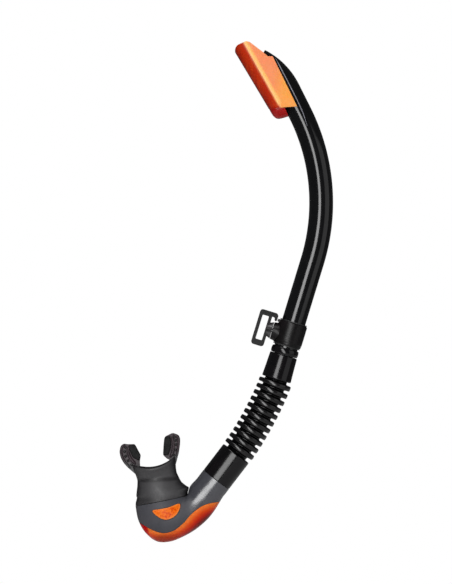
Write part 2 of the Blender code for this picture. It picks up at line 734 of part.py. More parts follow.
def left_tab():
    """The same for the far tab, which stands a little wider."""
    outer = ((-18.2, 27.6), (-20.8, 31.0), (-24.4, 35.6), (-27.4, 40.4), (-29.3, 46.0), (-29.4, 51.6))
    inner = ((-27.2, 56.6), (-24.0, 58.2), (-21.4, 57.0), (-14.4, 55.7), (-13.6, 54.0), (-10.9, 45.0))
    inner += ((-11.0, 43.8), (-12.6, 39.6), (-13.4, 34.4))
    lug = ((-19.6, 55.6), (-14.6, 55.5), (-11.1, 45.0), (-11.2, 43.8), (-13.2, 40.6), (-18.2, 44.6))
    return (outer + inner)[::-1], (lug + ((-19.4, 50.0),))[::-1]


def make_mouthpiece(finish):
    """A silicone sleeve: a waisted neck from the port, a curved lip shield, and two bite tabs."""
    outside = [
        mouth_ring(24.4, 16.6, GAP),
        mouth_ring(24.4, 16.2, 3.0, shift=0.7),
        mouth_ring(24.4, 15.9, 5.2, shift=1.8),
        mouth_ring(24.4, 15.5, 7.0, shift=2.5),
        mouth_ring(23.6, 15.2, 8.6, shift=1.5),
        mouth_ring(21.2, 14.3, 13.0, shift=0.4),
        mouth_ring(19.5, 13.3, 18.0, shift=0.3),
        mouth_ring(18.5, 12.7, 23.0, shift=0.2),
        mouth_ring(18.7, 12.8, 26.5),
        mouth_ring(19.8, 14.0, 29.0, 0.004),
        mouth_ring(20.2, 15.6, 29.0, 0.0165),
        mouth_ring(20.0, 16.0, 30.6, 0.0165),
        mouth_ring(18.6, 15.2, 31.6, 0.0165),
    ]
    inside = [
        mouth_ring(13.0, 8.0, 30.6, 0.004),
        mouth_ring(12.6, 7.8, 24.0),
        mouth_ring(18.0, 11.2, 9.6),
        mouth_ring(21.8, 14.0, 8.4),
        mouth_ring(21.8, 14.0, GAP),
    ]
    mouthpiece = add("mouthpiece", lofted(outside + inside, loop=True), PORT, finish)
    for name, (tab, lug) in (("right", right_tab()), ("left", left_tab())):
        boolean(mouthpiece, add(f"bite_tab_{name}", prism(tab, -2.6, 2.6), PORT), "UNION")
        boolean(mouthpiece, add(f"bite_lug_{name}", prism(lug, -4.6, 4.6), PORT), "UNION")


def clear_scene():
    for old in list(bpy.data.objects):
        bpy.data.objects.remove(old, do_unlink=True)


def build():
    clear_scene()
    black_gloss = material("black gloss plastic", (0.012, 0.012, 0.013), 0.16)
    black_satin = material("black satin plastic", (0.02, 0.02, 0.021), 0.35)
    silicone = material("black silicone", (0.022, 0.022, 0.023), 0.42)
    soft_grey = material("mouthpiece silicone", (0.045, 0.045, 0.047), 0.5)
    slate = material("slate grey plastic", (0.075, 0.075, 0.085), 0.32)
    orange = material("orange plastic", (0.9, 0.2, 0.03), 0.22)
    red_orange = material("red orange plastic", (0.85, 0.12, 0.02), 0.28)
    clear_silicone = material("clear silicone", (0.75, 0.75, 0.73), 0.3)
    steel = material("stainless steel", (0.55, 0.55, 0.56), 0.3, 1.0)
    make_barrel(black_gloss)
    make_splash_guard(orange)
    make_splash_baffle(black_satin)
    make_keeper_sleeve(silicone)
    make_keeper_collar(black_satin)
    make_strap_clip(black_satin)
    make_pivot_pin(steel)
    make_flex_hose(silicone)
    make_upper_coupling(black_gloss, black_satin, silicone, black_gloss)
    make_lower_coupling(black_gloss, black_satin, silicone)
    make_chamber(slate)
    make_skin_piece("side_inlay_front", inlay_outline(GAP), (-25, 0), red_orange)
    make_skin_piece("side_inlay_back", inlay_outline(GAP), (0, 25), red_orange)
    make_purge_cover(orange)
    make_purge_seat(slate)
    make_purge_valve(clear_silicone)
    make_mouthpiece(soft_grey)


build()
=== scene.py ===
"""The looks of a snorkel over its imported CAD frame.

Sizes are in millimetres, in the frame's own axes, and MM turns them into metres. +Z is up, +X points away
from the mouth, and the object is symmetric about Y = 0.
"""

import json
import math

import bmesh
import bpy
from mathutils import Matrix, Vector

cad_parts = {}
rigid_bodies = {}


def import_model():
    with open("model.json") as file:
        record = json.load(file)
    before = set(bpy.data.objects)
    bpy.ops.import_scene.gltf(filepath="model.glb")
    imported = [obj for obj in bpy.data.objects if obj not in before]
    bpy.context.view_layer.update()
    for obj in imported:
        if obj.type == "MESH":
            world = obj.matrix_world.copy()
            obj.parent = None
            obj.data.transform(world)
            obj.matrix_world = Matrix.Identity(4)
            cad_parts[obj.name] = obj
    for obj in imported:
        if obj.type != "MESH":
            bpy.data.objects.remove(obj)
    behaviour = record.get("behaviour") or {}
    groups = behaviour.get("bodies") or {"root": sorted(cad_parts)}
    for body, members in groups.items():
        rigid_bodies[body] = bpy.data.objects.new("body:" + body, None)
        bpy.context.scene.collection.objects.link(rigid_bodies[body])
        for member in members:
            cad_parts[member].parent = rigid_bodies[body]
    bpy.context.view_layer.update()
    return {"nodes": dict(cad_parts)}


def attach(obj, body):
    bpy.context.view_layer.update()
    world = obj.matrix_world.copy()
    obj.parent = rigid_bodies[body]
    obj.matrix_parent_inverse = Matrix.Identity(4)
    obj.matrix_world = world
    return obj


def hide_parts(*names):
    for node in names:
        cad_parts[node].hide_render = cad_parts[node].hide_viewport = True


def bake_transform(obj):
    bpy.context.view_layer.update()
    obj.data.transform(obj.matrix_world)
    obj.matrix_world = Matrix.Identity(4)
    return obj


MM = 0.001
ROUND = 96  # sides of round parts
BEAD_SIDES = 12

BARREL_TILT = 17.0
BARREL_OFFSET = 29.3  # from the strap slot to the barrel's axis
BARREL_RADIUS = 11.0
BARREL_BORE = 9.3
BARREL_FOOT = -13.0
STRAIGHT_LENGTH = 85.0
BEND_RADIUS, BEND_TILT = 184.0, 26.6  # the long bend, and the lean towards -X after it
GUARDED_LENGTH = 24.0
TIP_RADIUS, TIP_TILT = 60.0, 63.0  # the back wall's curl behind the guard

GUARD_TILT = -26.0
GUARD_HALF_WIDTH = 13.6
GUARD_HEIGHT = 74.6
GUARD_CORNER = 5.6
GUARD_WALL = 1.5
PIN_HOLE = 2.1

UPPER_CUFF_TOP, UPPER_CUFF_BOTTOM = -18.6, -41.7
CUFF_LENGTH = 30.2
HOSE_BORE = 9.1
HOSE_ROOT = 10.4
HOSE_END = 12.0  # length of plain hose inside each cuff
HOSE_STIFF_TOP = 0.55  # below 1, the hose bends more near its top
RIB_PITCH = 6.8
RIB_COUNT = 11
FIRST_RIB = 4.6

SWIVEL_X, SWIVEL_Z, SWIVEL_TILT = -39.5, -140.9, 37.5
TUBE_RADIUS = 14.7
PORT_HALF_WIDTH, PORT_HALF_DEPTH = 24.4, 16.6
NUB_HALF = 0.75

FLOOR_Z = -0.33  # metres, as are the stage's other sizes
CAMERA_DISTANCE = 3.0
SENSOR = 24
VIEW_HEIGHT = 0.53728  # what the picture spans at the snorkel

for old in list(bpy.data.objects):
    bpy.data.objects.remove(old, do_unlink=True)
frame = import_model()


# ---------------------------------------------------------------- frames


def frame_at(x, z, tilt):
    """A frame in the plane Y = 0, in millimetres, whose Z axis leans by tilt degrees towards +X."""
    return Matrix.Translation((x, 0, z)) @ Matrix.Rotation(math.radians(tilt), 4, "Y")


LEAN = math.radians(BARREL_TILT)
CLIP = frame_at(0, 0, BARREL_TILT)
PIVOT = CLIP @ Matrix.Rotation(math.radians(90), 4, "Y")
BARREL = frame_at(BARREL_OFFSET * math.cos(LEAN), -BARREL_OFFSET * math.sin(LEAN), BARREL_TILT)
GUARD = frame_at(33.9, 201.4, GUARD_TILT)
SWIVEL = frame_at(SWIVEL_X, SWIVEL_Z, SWIVEL_TILT)
PORT = frame_at(-89.7, -160.2, -11.1)
PURGE = PORT @ Matrix.Rotation(math.pi, 4, "Y")
WORLD = Matrix.Identity(4)


# ---------------------------------------------------------------- mesh building


def lofted(rings, loop=False):
    """Rings of equally many points bridged in order, then back to the first, or closed by flat ends."""
    bm = bmesh.new()
    made = [[bm.verts.new(point) for point in ring] for ring in rings]
    pairs = list(zip(made, made[1:]))
    if loop:
        pairs.append((made[-1], made[0]))
    else:
        bm.faces.new(made[0])
        bm.faces.new(made[-1])
    for low, high in pairs:
        for i in range(len(low)):
            j = (i + 1) % len(low)
            bm.faces.new((low[i], low[j], high[j], high[i]))
    return bm


def circle(radius, z, sides=ROUND):
    turns = [math.tau * i / sides for i in range(sides)]
    return [Vector((radius * math.cos(a), radius * math.sin(a), z)) for a in turns]


def turned(profile):
    """A ring turned about Z from a closed (radius, z) profile."""
    return lofted([circle(r, z) for r, z in profile], loop=True)


def turned_solid(profile, sides=ROUND):
    """A solid turned about Z from a (radius, z) profile, closed by flat ends."""
    return lofted([circle(r, z, sides) for r, z in profile])


def prism(outline, low, high):
    """An (x, z) outline pushed along Y."""
    return lofted([[Vector((x, y, z)) for x, z in outline] for y in (low, high)])


def rounded(outline, radius, steps=5):
    """A closed outline with its corners rounded."""
    found = []
    count = len(outline)
    for i in range(count):
        before, here, after = (Vector(outline[(i + k) % count]) for k in (-1, 0, 1))
        near, far = before - here, after - here
        reach = min(radius, near.length / 2.1, far.length / 2.1)
        a, b = here + near.normalized() * reach, here + far.normalized() * reach
        for k in range(steps + 1):
            t = k / steps
            found.append(tuple(a * (1 - t) ** 2 + here * 2 * t * (1 - t) + b * t * t))
    return found


def catmull(points, steps, closed=False):
    """A smooth curve through points of any dimension."""
    count = len(points)
    found = []
    for i in range(count if closed else count - 1):
        near = []
        for k in (i - 1, i, i + 1, i + 2):
            near.append(Vector(points[k % count] if closed else points[min(max(k, 0), count - 1)]))
        for step in range(steps):
            t = step / steps
            found.append(
                0.5
                * (
                    2 * near[1]
                    + (near[2] - near[0]) * t
                    + (2 * near[0] - 5 * near[1] + 4 * near[2] - near[3]) * t * t
                    + (3 * near[1] - near[0] - 3 * near[2] + near[3]) * t**3
                )
            )
    if not closed:
        found.append(Vector(points[-1]))
    return found


def swept(points, radii):
    """A round bead along 3-D points, with its own radius at each."""
    points = [Vector(p) for p in points]
    rings = []
    for i, point in enumerate(points):
        along = (points[min(i + 1, len(points) - 1)] - points[max(i - 1, 0)]).normalized()
        side = along.cross(Vector((0, 1, 0)))
        side = side.normalized() if side.length > 1e-6 else Vector((1, 0, 0))
        up = side.cross(along).normalized()
        turns = [math.tau * k / BEAD_SIDES for k in range(BEAD_SIDES)]
        rings.append([point + radii[i] * (side * math.cos(a) + up * math.sin(a)) for a in turns])
    return lofted(rings)


def raw(name, bm, place, smooth=35):
    """An object from a mesh made in millimetres in the frame `place`. Its own origin stays at the world's."""
    bmesh.ops.transform(bm, matrix=Matrix.Scale(MM, 4) @ place, verts=bm.verts)
    bmesh.ops.recalc_face_normals(bm, faces=bm.faces)
    mesh = bpy.data.meshes.new(name)
    bm.to_mesh(mesh)
    bm.free()
    mesh.shade_smooth()
    mesh.set_sharp_from_angle(angle=math.radians(smooth))
    made = bpy.data.objects.new(name, mesh)
    bpy.context.scene.collection.objects.link(made)
    return made


def applied(made):
    """Replaces the mesh by what its modifiers make."""
    graph = bpy.context.evaluated_depsgraph_get()
    mesh = bpy.data.meshes.new_from_object(made.evaluated_get(graph))
    before = made.data
    made.modifiers.clear()
    made.data = mesh
    bpy.data.meshes.remove(before)
    return made


def boolean(made, other, operation):
    """Cuts, joins or keeps what both share, and removes the other object."""
    modifier = made.modifiers.new("boolean", "BOOLEAN")
    modifier.operation = operation
    modifier.object = other
    applied(made)
    bpy.data.objects.remove(other, do_unlink=True)
    return made


def bevelled(made, width, angle, segments):
    """Rounds the edges sharper than an angle in degrees."""
    modifier = made.modifiers.new("bevel", "BEVEL")
    modifier.width = width * MM
    modifier.segments = segments
    modifier.limit_method = "ANGLE"
    modifier.angle_limit = math.radians(angle)
    applied(made)
    made.data.shade_smooth()
    made.data.set_sharp_from_angle(angle=math.radians(45))
    return made


def tinted(made, name, value):
    """Stores value(point in mm, normal) on each vertex, for the material."""
    found = [value(v.co / MM, v.normal) for v in made.data.vertices]
    attribute = made.data.attributes.new(name, "FLOAT", "POINT")
    attribute.data.foreach_set("value", found)


def evened(made):
    """Keeps flat and straight faces flat in shading, next to rounded edges."""
    modifier = made.modifiers.new("even", "WEIGHTED_NORMAL")
    modifier.keep_sharp = True
    applied(made)


def placed(made, finish, body, slot, *nodes):
    """Gives a piece its material and its body, and hides the CAD nodes that it stands for."""
    if body:
        evened(made)
    made.data.materials.clear()
    made.data.materials.append(finish)
    if body:
        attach(made, body)
    if nodes:
        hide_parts(*nodes)
    return made


def clamp(x):
    return max(0.0, min(1.0, x))


def smoothstep(low, high, x):
    t = clamp((x - low) / (high - low))
    return t * t * (3 - 2 * t)


# ---------------------------------------------------------------- materials


class Nodes:
    """A material's node tree, with short calls for what is used here."""

    def __init__(self, name):
        self.made = bpy.data.materials.new(name)
        self.made.use_nodes = True
        self.tree = self.made.node_tree
        self.shader = self.tree.nodes["Principled BSDF"]
        self.place = self.tree.nodes.new("ShaderNodeTexCoord").outputs["Object"]

    def node(self, kind, inputs=(), **settings):
        made = self.tree.nodes.new(kind)
        for key, value in settings.items():
            setattr(made, key, value)
        for key, value in dict(inputs).items():
            self.put(made.inputs[key], value)
        return made

    def put(self, socket, value):
        if isinstance(value, bpy.types.NodeSocket):
            self.tree.links.new(value, socket)
        else:
            socket.default_value = value

    def noise(self, per_m, detail):
        sockets = {"Vector": self.place, "Scale": per_m, "Detail": detail, "Roughness": 0.55}
        return self.node("ShaderNodeTexNoise", sockets).outputs["Fac"]

    def ramp(self, factor, stops):
        made = self.node("ShaderNodeValToRGB", {"Fac": factor})
        elements = made.color_ramp.elements
        while len(elements) < len(stops):
            elements.new(0.5)
        for element, (at, colour) in zip(elements, stops):
            element.position = at
            element.color = (*colour, 1.0)
        return made.outputs["Color"]

    def mix(self, factor, a, b):
        made = self.node("ShaderNodeMix", data_type="RGBA")
        self.put(made.inputs[0], factor)
        self.put(made.inputs[6], a)
        self.put(made.inputs[7], b)
        return made.outputs[2]

    def range(self, value, low, high, start=0.0, end=1.0):
        sockets = {"Value": value, "From Min": start, "From Max": end, "To Min": low, "To Max": high}
        return self.node("ShaderNodeMapRange", sockets).outputs["Result"]

    def attribute(self, name):
        return self.node("ShaderNodeAttribute", attribute_name=name).outputs["Fac"]

    def bump(self, height, strength, distance, before=None):
        made = self.node("ShaderNodeBump", {"Height": height, "Strength": strength, "Distance": distance})
        if before:
            self.put(made.inputs["Normal"], before)
        return made.outputs["Normal"]

    def set(self, **sockets):
        for key, value in sockets.items():
            self.put(self.shader.inputs[key.replace("_", " ")], value)


def moulded(name, colour, lighter, rough, grain, waves):
    """Moulded plastic or rubber: faint cloudy colour, uneven gloss, a fine grain and slow surface waves."""
    n = Nodes(name)
    cloud = n.noise(60, 4)
    n.set(Base_Color=n.ramp(cloud, ((0.35, colour), (0.75, lighter))))
    n.set(Roughness=n.range(n.noise(240, 5), rough * 0.85, rough * 1.2, 0.3, 0.7))
    fine = n.bump(n.noise(2600, 2), grain, 0.00006)
    n.set(Normal=n.bump(n.noise(45, 2), waves, 0.0006, fine))
    return n.made


def clip_finish():
    """Black gloss plastic, with a painted highlight in pale grey along its bevelled edges."""
    n = Nodes("clip_gloss")
    normal = n.node("ShaderNodeTexCoord").outputs["Normal"]
    facing = n.node("ShaderNodeSeparateXYZ", {"Vector": normal}).outputs["Y"]
    facing = n.node("ShaderNodeMath", {0: facing}, operation="ABSOLUTE").outputs["Value"]
    # Painted highlight: faces turned partly away from the front, the bevelled edges, get pale grey and more
    # specular.
    bevel = n.node("ShaderNodeMath", {0: n.range(facing, 0, 1, 0.2, 0.5)}, operation="MULTIPLY")
    n.put(bevel.inputs[1], n.range(facing, 1, 0, 0.84, 0.97))
    base = n.ramp(n.noise(60, 4), ((0.35, (0.003, 0.003, 0.003)), (0.75, (0.006, 0.005, 0.006))))
    n.set(Base_Color=n.mix(bevel.outputs["Value"], base, (0.07, 0.068, 0.07, 1)))
    n.set(Roughness=n.range(n.noise(240, 5), 0.22, 0.30, 0.3, 0.7))
    n.set(Specular_IOR_Level=n.range(bevel.outputs["Value"], 0.12, 0.5))
    n.set(Normal=n.bump(n.noise(2600, 2), 0.1, 0.00006))
    return n.made


def hose_finish():
    """Silicone ribs with a soft gloss, duller in the grooves, with painted shade darkening the grooves."""
    n = Nodes("hose_silicone")
    groove = n.attribute("groove")
    base = n.ramp(n.noise(90, 4), ((0.3, (0.003, 0.003, 0.0035)), (0.8, (0.006, 0.005, 0.0055))))
    # Painted shade: the grooves' colour is darkened.
    n.set(Base_Color=n.mix(groove, base, (0.001, 0.001, 0.0012, 1)))
    n.set(Roughness=n.range(n.noise(420, 4), 0.17, 0.25, 0.3, 0.7))
    n.set(Normal=n.bump(n.noise(1800, 3), 0.2, 0.00006))
    n.set(Specular_IOR_Level=n.range(groove, 0.5, 0.15))
    return n.made


def guard_finish():
    """Translucent orange, with painted light: painted shade makes the nose deep red, darkest at its leading
    edge, and the chin dark red; the cheeks are pale orange, and a painted highlight makes a bright line
    between nose and cheek.
    """
    n = Nodes("guard_orange")
    # Painted shade: the nose is coloured deep red, nearly black where it turns away at its leading edge.
    stops = ((0.0, (0.07, 0.002, 0.001)), (0.3, (0.30, 0.010, 0.001)), (1.0, (0.46, 0.022, 0.002)))
    nose = n.ramp(n.attribute("nose"), stops)
    turn = (0, math.radians(GUARD_TILT), 0)
    streaks = n.node("ShaderNodeMapping", {"Vector": n.place, "Rotation": turn, "Scale": (420, 60, 16)})
    lines = n.node("ShaderNodeTexNoise", {"Vector": streaks.outputs["Vector"], "Scale": 1.0, "Detail": 3.0})
    nose = n.mix(n.range(lines.outputs["Fac"], 0.0, 0.6, 0.45, 0.75), nose, (0.60, 0.05, 0.004, 1))
    flat = n.mix(n.attribute("low"), (0.92, 0.265, 0.10, 1), (0.95, 0.36, 0.045, 1))
    flat = n.mix(n.range(n.noise(30, 3), 0.0, 0.6, 0.4, 0.68), flat, (0.94, 0.34, 0.12, 1))
    colour = n.mix(n.attribute("cheek"), nose, flat)
    # Painted highlight: a bright yellow-orange line where the nose meets the cheeks.
    colour = n.mix(n.attribute("highlight_stripe"), colour, (1.0, 0.50, 0.13, 1))
    # Painted shade: the chin is coloured dark red.
    n.set(Base_Color=n.mix(n.attribute("chin"), colour, (0.36, 0.002, 0.001, 1)))
    n.set(Roughness=n.range(n.noise(150, 4), 0.24, 0.33, 0.3, 0.7))
    n.set(Normal=n.bump(n.noise(60, 1), 0.06, 0.0006))
    n.shader.inputs["Specular IOR Level"].default_value = 0.28
    n.shader.inputs["Subsurface Weight"].default_value = 0.15
    n.shader.inputs["Subsurface Radius"].default_value = (1.0, 0.2, 0.06)
    n.shader.inputs["Subsurface Scale"].default_value = 0.003
    return n.made


def cover_finish():
    """Translucent red cover, with painted light: a painted highlight paling its upper edge, painted shade
    where it turns away and where it turns under, and painted shade that makes its tip pure red.
    """
    n = Nodes("cover_red")
    stops = (
        (0.0, (0.15, 0.003, 0.001)),
        (0.3, (0.54, 0.014, 0.002)),
        (0.65, (0.80, 0.08, 0.006)),
        (1.0, (0.96, 0.24, 0.034)),
    )
    # Painted highlight and shade: edge pales the red towards the upper edge and darkens it where the cover
    # turns away.
    body = n.ramp(n.attribute("edge"), stops)
    # Painted shade where the cover turns under.
    body = n.mix(n.attribute("under"), body, (0.27, 0.03, 0.004, 1))
    body = n.mix(n.range(n.noise(55, 3), 0.0, 0.45, 0.4, 0.75), body, (0.50, 0.012, 0.002, 1))
    # Painted shade: the tip is a deep, pure red.
    n.set(Base_Color=n.mix(n.attribute("tip"), body, (0.52, 0.0005, 0.0005, 1)))
    n.set(Roughness=n.range(n.noise(200, 4), 0.18, 0.27, 0.3, 0.7))
    n.set(Normal=n.bump(n.noise(60, 1), 0.06, 0.0006))
    n.set(Specular_IOR_Level=n.range(n.attribute("tip"), 0.18, 0.03))
    n.shader.inputs["Subsurface Weight"].default_value = 0.12
    n.shader.inputs["Subsurface Radius"].default_value = (1.0, 0.15, 0.05)
    n.shader.inputs["Subsurface Scale"].default_value = 0.003
    return n.made


def inlay_finish():
    """Bright orange inlay with a crystalline surface and a smooth, paler rim."""
    n = Nodes("inlay_orange")
    cells = n.node("ShaderNodeTexVoronoi", {"Vector": n.place, "Scale": 560.0, "Randomness": 1.0})
    stops = ((0.0, (0.52, 0.035, 0.0)), (0.5, (0.76, 0.09, 0.0)), (1.0, (0.98, 0.22, 0.006)))
    facets = n.ramp(cells.outputs["Distance"], stops)
    blotches = n.range(n.noise(260, 2), 0.0, 0.7, 0.45, 0.6)
    facets = n.mix(blotches, facets, (0.92, 0.19, 0.008, 1))
    n.set(Base_Color=n.mix(n.attribute("rim"), facets, (0.90, 0.22, 0.03, 1)))
    n.set(Roughness=0.3)
    rough = n.bump(cells.outputs["Distance"], 0.4, 0.0003)
    n.set(Normal=n.bump(n.noise(900, 3), 0.2, 0.0002, rough))
    n.shader.inputs["Specular IOR Level"].default_value = 0.1
    return n.made


def chamber_finish():
    """Smoke-grey plastic, glossy on the tube and matt on the bulb, with painted shade where it turns away."""
    n = Nodes("chamber_smoke")
    stops = ((0.3, (0.048, 0.049, 0.058)), (0.55, (0.060, 0.060, 0.070)), (0.8, (0.070, 0.062, 0.073)))
    cloud = n.ramp(n.noise(40, 5), stops)
    # Painted shade: the bulb darkens where it turns away.
    n.set(Base_Color=n.mix(n.attribute("away"), cloud, (0.018, 0.015, 0.018, 1)))
    rough = n.range(n.noise(170, 4), 0.17, 0.25, 0.3, 0.7)
    n.set(Roughness=n.mix(n.attribute("matt"), rough, (0.5, 0.5, 0.5, 1)))
    n.set(Specular_IOR_Level=n.range(n.attribute("matt"), 0.9, 0.3))
    fine = n.bump(n.noise(2200, 2), 0.08, 0.00006)
    n.set(Normal=n.bump(n.noise(40, 1), 0.05, 0.0006, fine))
    return n.made


def mouthpiece_finish():
    """Soft silicone: matt, with painted shade in its fold, at its foot and down its flanks, purple-grey tabs,
    and painted shade on the tabs' lugs.
    """
    n = Nodes("mouthpiece_silicone")
    neck = n.ramp(n.noise(70, 4), ((0.3, (0.045, 0.044, 0.046)), (0.75, (0.057, 0.055, 0.058))))
    # Painted shade: the neck darkens in its fold, at its foot and down its flanks.
    neck = n.mix(n.attribute("painted_shade"), neck, (0.008, 0.007, 0.008, 1))
    tabs = n.ramp(n.noise(120, 3), ((0.3, (0.022, 0.013, 0.017)), (0.75, (0.035, 0.022, 0.027))))
    colour = n.mix(n.attribute("tab"), neck, tabs)
    # Painted shade: the lugs' sides are near black.
    colour = n.mix(n.attribute("lug"), colour, (0.004, 0.0045, 0.0045, 1))
    n.set(Base_Color=n.mix(n.attribute("nub"), colour, (0.001, 0.001, 0.001, 1)))
    n.set(Roughness=n.range(n.noise(300, 5), 0.40, 0.55, 0.3, 0.7))
    fine = n.bump(n.noise(2400, 3), 0.25, 0.00008)
    n.set(Normal=n.bump(n.noise(90, 2), 0.08, 0.0005, fine))
    n.set(Specular_IOR_Level=n.range(n.attribute("lug"), 0.4, 0.1))
    return n.made


def adjusted(material, socket, value):
    """Sets one value of a material's shader."""
    material.node_tree.nodes["Principled BSDF"].inputs[socket].default_value = value
    return material


gloss = moulded("barrel_gloss", (0.003, 0.003, 0.0035), (0.005, 0.005, 0.0055), 0.12, 0.05, 0.05)
cuff_gloss = moulded("cuff_gloss", (0.003, 0.003, 0.0035), (0.006, 0.0045, 0.0055), 0.14, 0.05, 0.05)
adjusted(cuff_gloss, "Specular IOR Level", 0.35)
satin = moulded("keeper_satin", (0.004, 0.004, 0.004), (0.009, 0.007, 0.008), 0.30, 0.25, 0.1)
adjusted(satin, "Specular IOR Level", 0.2)
clip_gloss = clip_finish()
# Painted highlight: the rails' pale grey-blue stands in for a highlight line on the black barrel.
rail_highlight = moulded("rail_highlight", (0.16, 0.16, 0.19), (0.36, 0.37, 0.42), 0.25, 0.1, 0.05)
rubber = moulded("liner_rubber", (0.008, 0.008, 0.008), (0.014, 0.014, 0.014), 0.55, 0.4, 0.1)
spigot = moulded("spigot_black", (0.012, 0.012, 0.013), (0.02, 0.02, 0.021), 0.4, 0.2, 0.1)
seal = moulded("seal_rubber", (0.006, 0.006, 0.006), (0.012, 0.012, 0.012), 0.5, 0.2, 0.1)
clear = moulded("clear_silicone", (0.42, 0.43, 0.42), (0.55, 0.55, 0.53), 0.35, 0.1, 0.1)
pin = moulded("pin_steel", (0.50, 0.50, 0.51), (0.62, 0.62, 0.62), 0.28, 0.1, 0.05)
adjusted(pin, "Metallic", 1.0)
hose = hose_finish()
orange = guard_finish()
red = cover_finish()
bright = inlay_finish()
smoke = chamber_finish()
soft = mouthpiece_finish()


# ---------------------------------------------------------------- barrel and splash guard


def barrel_path(fine=6):
    """(x, z, tilt) along the barrel, from its foot to the tip of its back wall."""
    start = BARREL @ Vector((0, 0, BARREL_FOOT))
    x, z, tilt = start.x, start.z, BARREL_TILT
    stretches = (  # length, turn in degrees, and steps
        (STRAIGHT_LENGTH, 0.0, 3),
        (BEND_RADIUS * math.radians(BARREL_TILT + BEND_TILT), -BEND_TILT - BARREL_TILT, 12),
        (GUARDED_LENGTH, 0.0, 2),
        (TIP_RADIUS * math.radians(TIP_TILT - BEND_TILT), BEND_TILT - TIP_TILT, 5),
    )
    stations = [(x, z, tilt)]
    for length, turn, steps in stretches:
        steps *= fine
        for _ in range(steps):
            middle = math.radians(tilt + turn / steps / 2)
            chord = length / steps
            x += chord * math.sin(middle)
            z += chord * math.cos(middle)
            tilt += turn / steps
            stations.append((x, z, tilt))
    return stations


def path_ring(x, z, tilt, radius):
    place = frame_at(x, z, tilt)
    return [place @ point for point in circle(radius, 0)]


def make_barrel():
    """A curved tube with an open mouth cut in its front, behind the splash guard."""
    path = barrel_path()
    outside = [path_ring(*station, BARREL_RADIUS) for station in path]
    inside = [path_ring(*station, BARREL_BORE) for station in reversed(path)]
    barrel = raw("barrel_tube", lofted(outside + inside, loop=True), WORLD)
    mouth = [(16, 4), (0.4, 16), (0.0, 26), (0.2, 38), (0.6, 46), (2.2, 52), (5.2, 58)]
    mouth += [(14, 72), (40, 72), (40, 4)]
    outline = [tuple((GUARD @ Vector((-front, 0, up))).xz) for front, up in mouth]
    boolean(barrel, raw("mouth_cut", prism(rounded(outline, 3.0), -20, 20), WORLD), "DIFFERENCE")
    placed(bevelled(barrel, 0.35, 50, 2), gloss, "tube", "barrel_plastic", "barrel")


def make_rails():
    """A slim rail down each side of the barrel, behind the splash guard's edge, that fades out below it,
    coloured pale as a painted highlight.
    """
    route = [(14.6, 247.0), (19.8, 237.0), (26.2, 224.6), (30.8, 215.6), (35.8, 205.6), (40.4, 195.0)]
    route = catmull([*route, (44.0, 184.0)], 8)
    path = barrel_path()
    for side, name in ((-1, "front"), (1, "back")):
        points, radii = [], []
        for i, (x, z) in enumerate(route):
            cx, cz, tilt = min(path, key=lambda s: (s[0] - x) ** 2 + (s[1] - z) ** 2)
            lean = math.radians(tilt)
            off = (x - cx) * math.cos(lean) - (z - cz) * math.sin(lean)
            points.append((x, side * (math.sqrt(max(BARREL_RADIUS**2 - off * off, 1)) + 0.02), z))
            t = i / (len(route) - 1)
            radii.append(0.12 + 0.4 * smoothstep(0, 0.15, t) * (1 - smoothstep(0.75, 1.0, t)))
        rail = raw(f"barrel_rail_{name}", swept(points, radii), WORLD, 60)
        placed(rail, rail_highlight, "tube", "barrel_plastic")


def guard_front(up):
    """How far forward the guard's nose reaches at a height."""
    return 22.2 + 6.3 * up / GUARD_HEIGHT


def guard_cheek(up):
    """How far forward the guard's flat cheek reaches at a height."""
    return guard_front(up) - 10.6 - 0.03 * up


def guard_section(inset, up):
    """The guard's cross-section at a height: flat cheeks and a half-oval nose."""
    half_width, depth = GUARD_HALF_WIDTH - inset, guard_front(up) - guard_cheek(up) - inset
    turns = [math.pi / 2 - math.pi * i / 30 for i in range(31)]
    nose = [(guard_cheek(up) + depth * math.cos(a), half_width * math.sin(a)) for a in turns]
    side = [(-31.0 if inset else -1.0, half_width)]
    side += [(guard_cheek(up) - off, half_width) for off in (3.6, 2.4, 1.4, 0.6)]
    return [Vector((-f, y, up)) for f, y in side + nose + [(f, -y) for f, y in reversed(side)]]


def guard_outline(inset):
    """The guard seen from its side, as (forward, up), or its hollow's where inset is above 0."""
    front, top = 28.1 - inset, GUARD_HEIGHT - inset
    x, z = front - GUARD_CORNER, top - GUARD_CORNER
    turns = [math.pi * i / 24 for i in range(13)]
    nose = [(x + GUARD_CORNER * math.cos(a), z + GUARD_CORNER * math.sin(a)) for a in turns]
    shoulder = [(15.0, top - 0.4), (12.4 - inset, top - 2.4), (10.7 - inset, top - 5.8)]
    shoulder += [(5.2, 57.8 - inset), (3.2, 53.0 - inset)]
    if inset:
        foot = [(8.6, -10.0), (8.6, 9.0), (guard_front(11) - inset, 11.0)]
        return nose + shoulder + [(-30.0, 51.0 - inset), (-30.0, -10.0), *foot]
    return nose + shoulder + [(-0.8, 51.0), (-0.8, 0.0), (13.6, 5.8), (guard_front(9.6), 9.6)]


def guard_form(name, inset):
    """The guard's body: its cross-sections, kept where they are within its side outline."""
    rings = [guard_section(inset, -20 + 110 * i / 40) for i in range(41)]
    form = raw(name, lofted(rings), GUARD)
    side = raw(f"{name}_side", prism([(-f, z) for f, z in guard_outline(inset)], -20, 20), GUARD)
    return boolean(form, side, "INTERSECT")


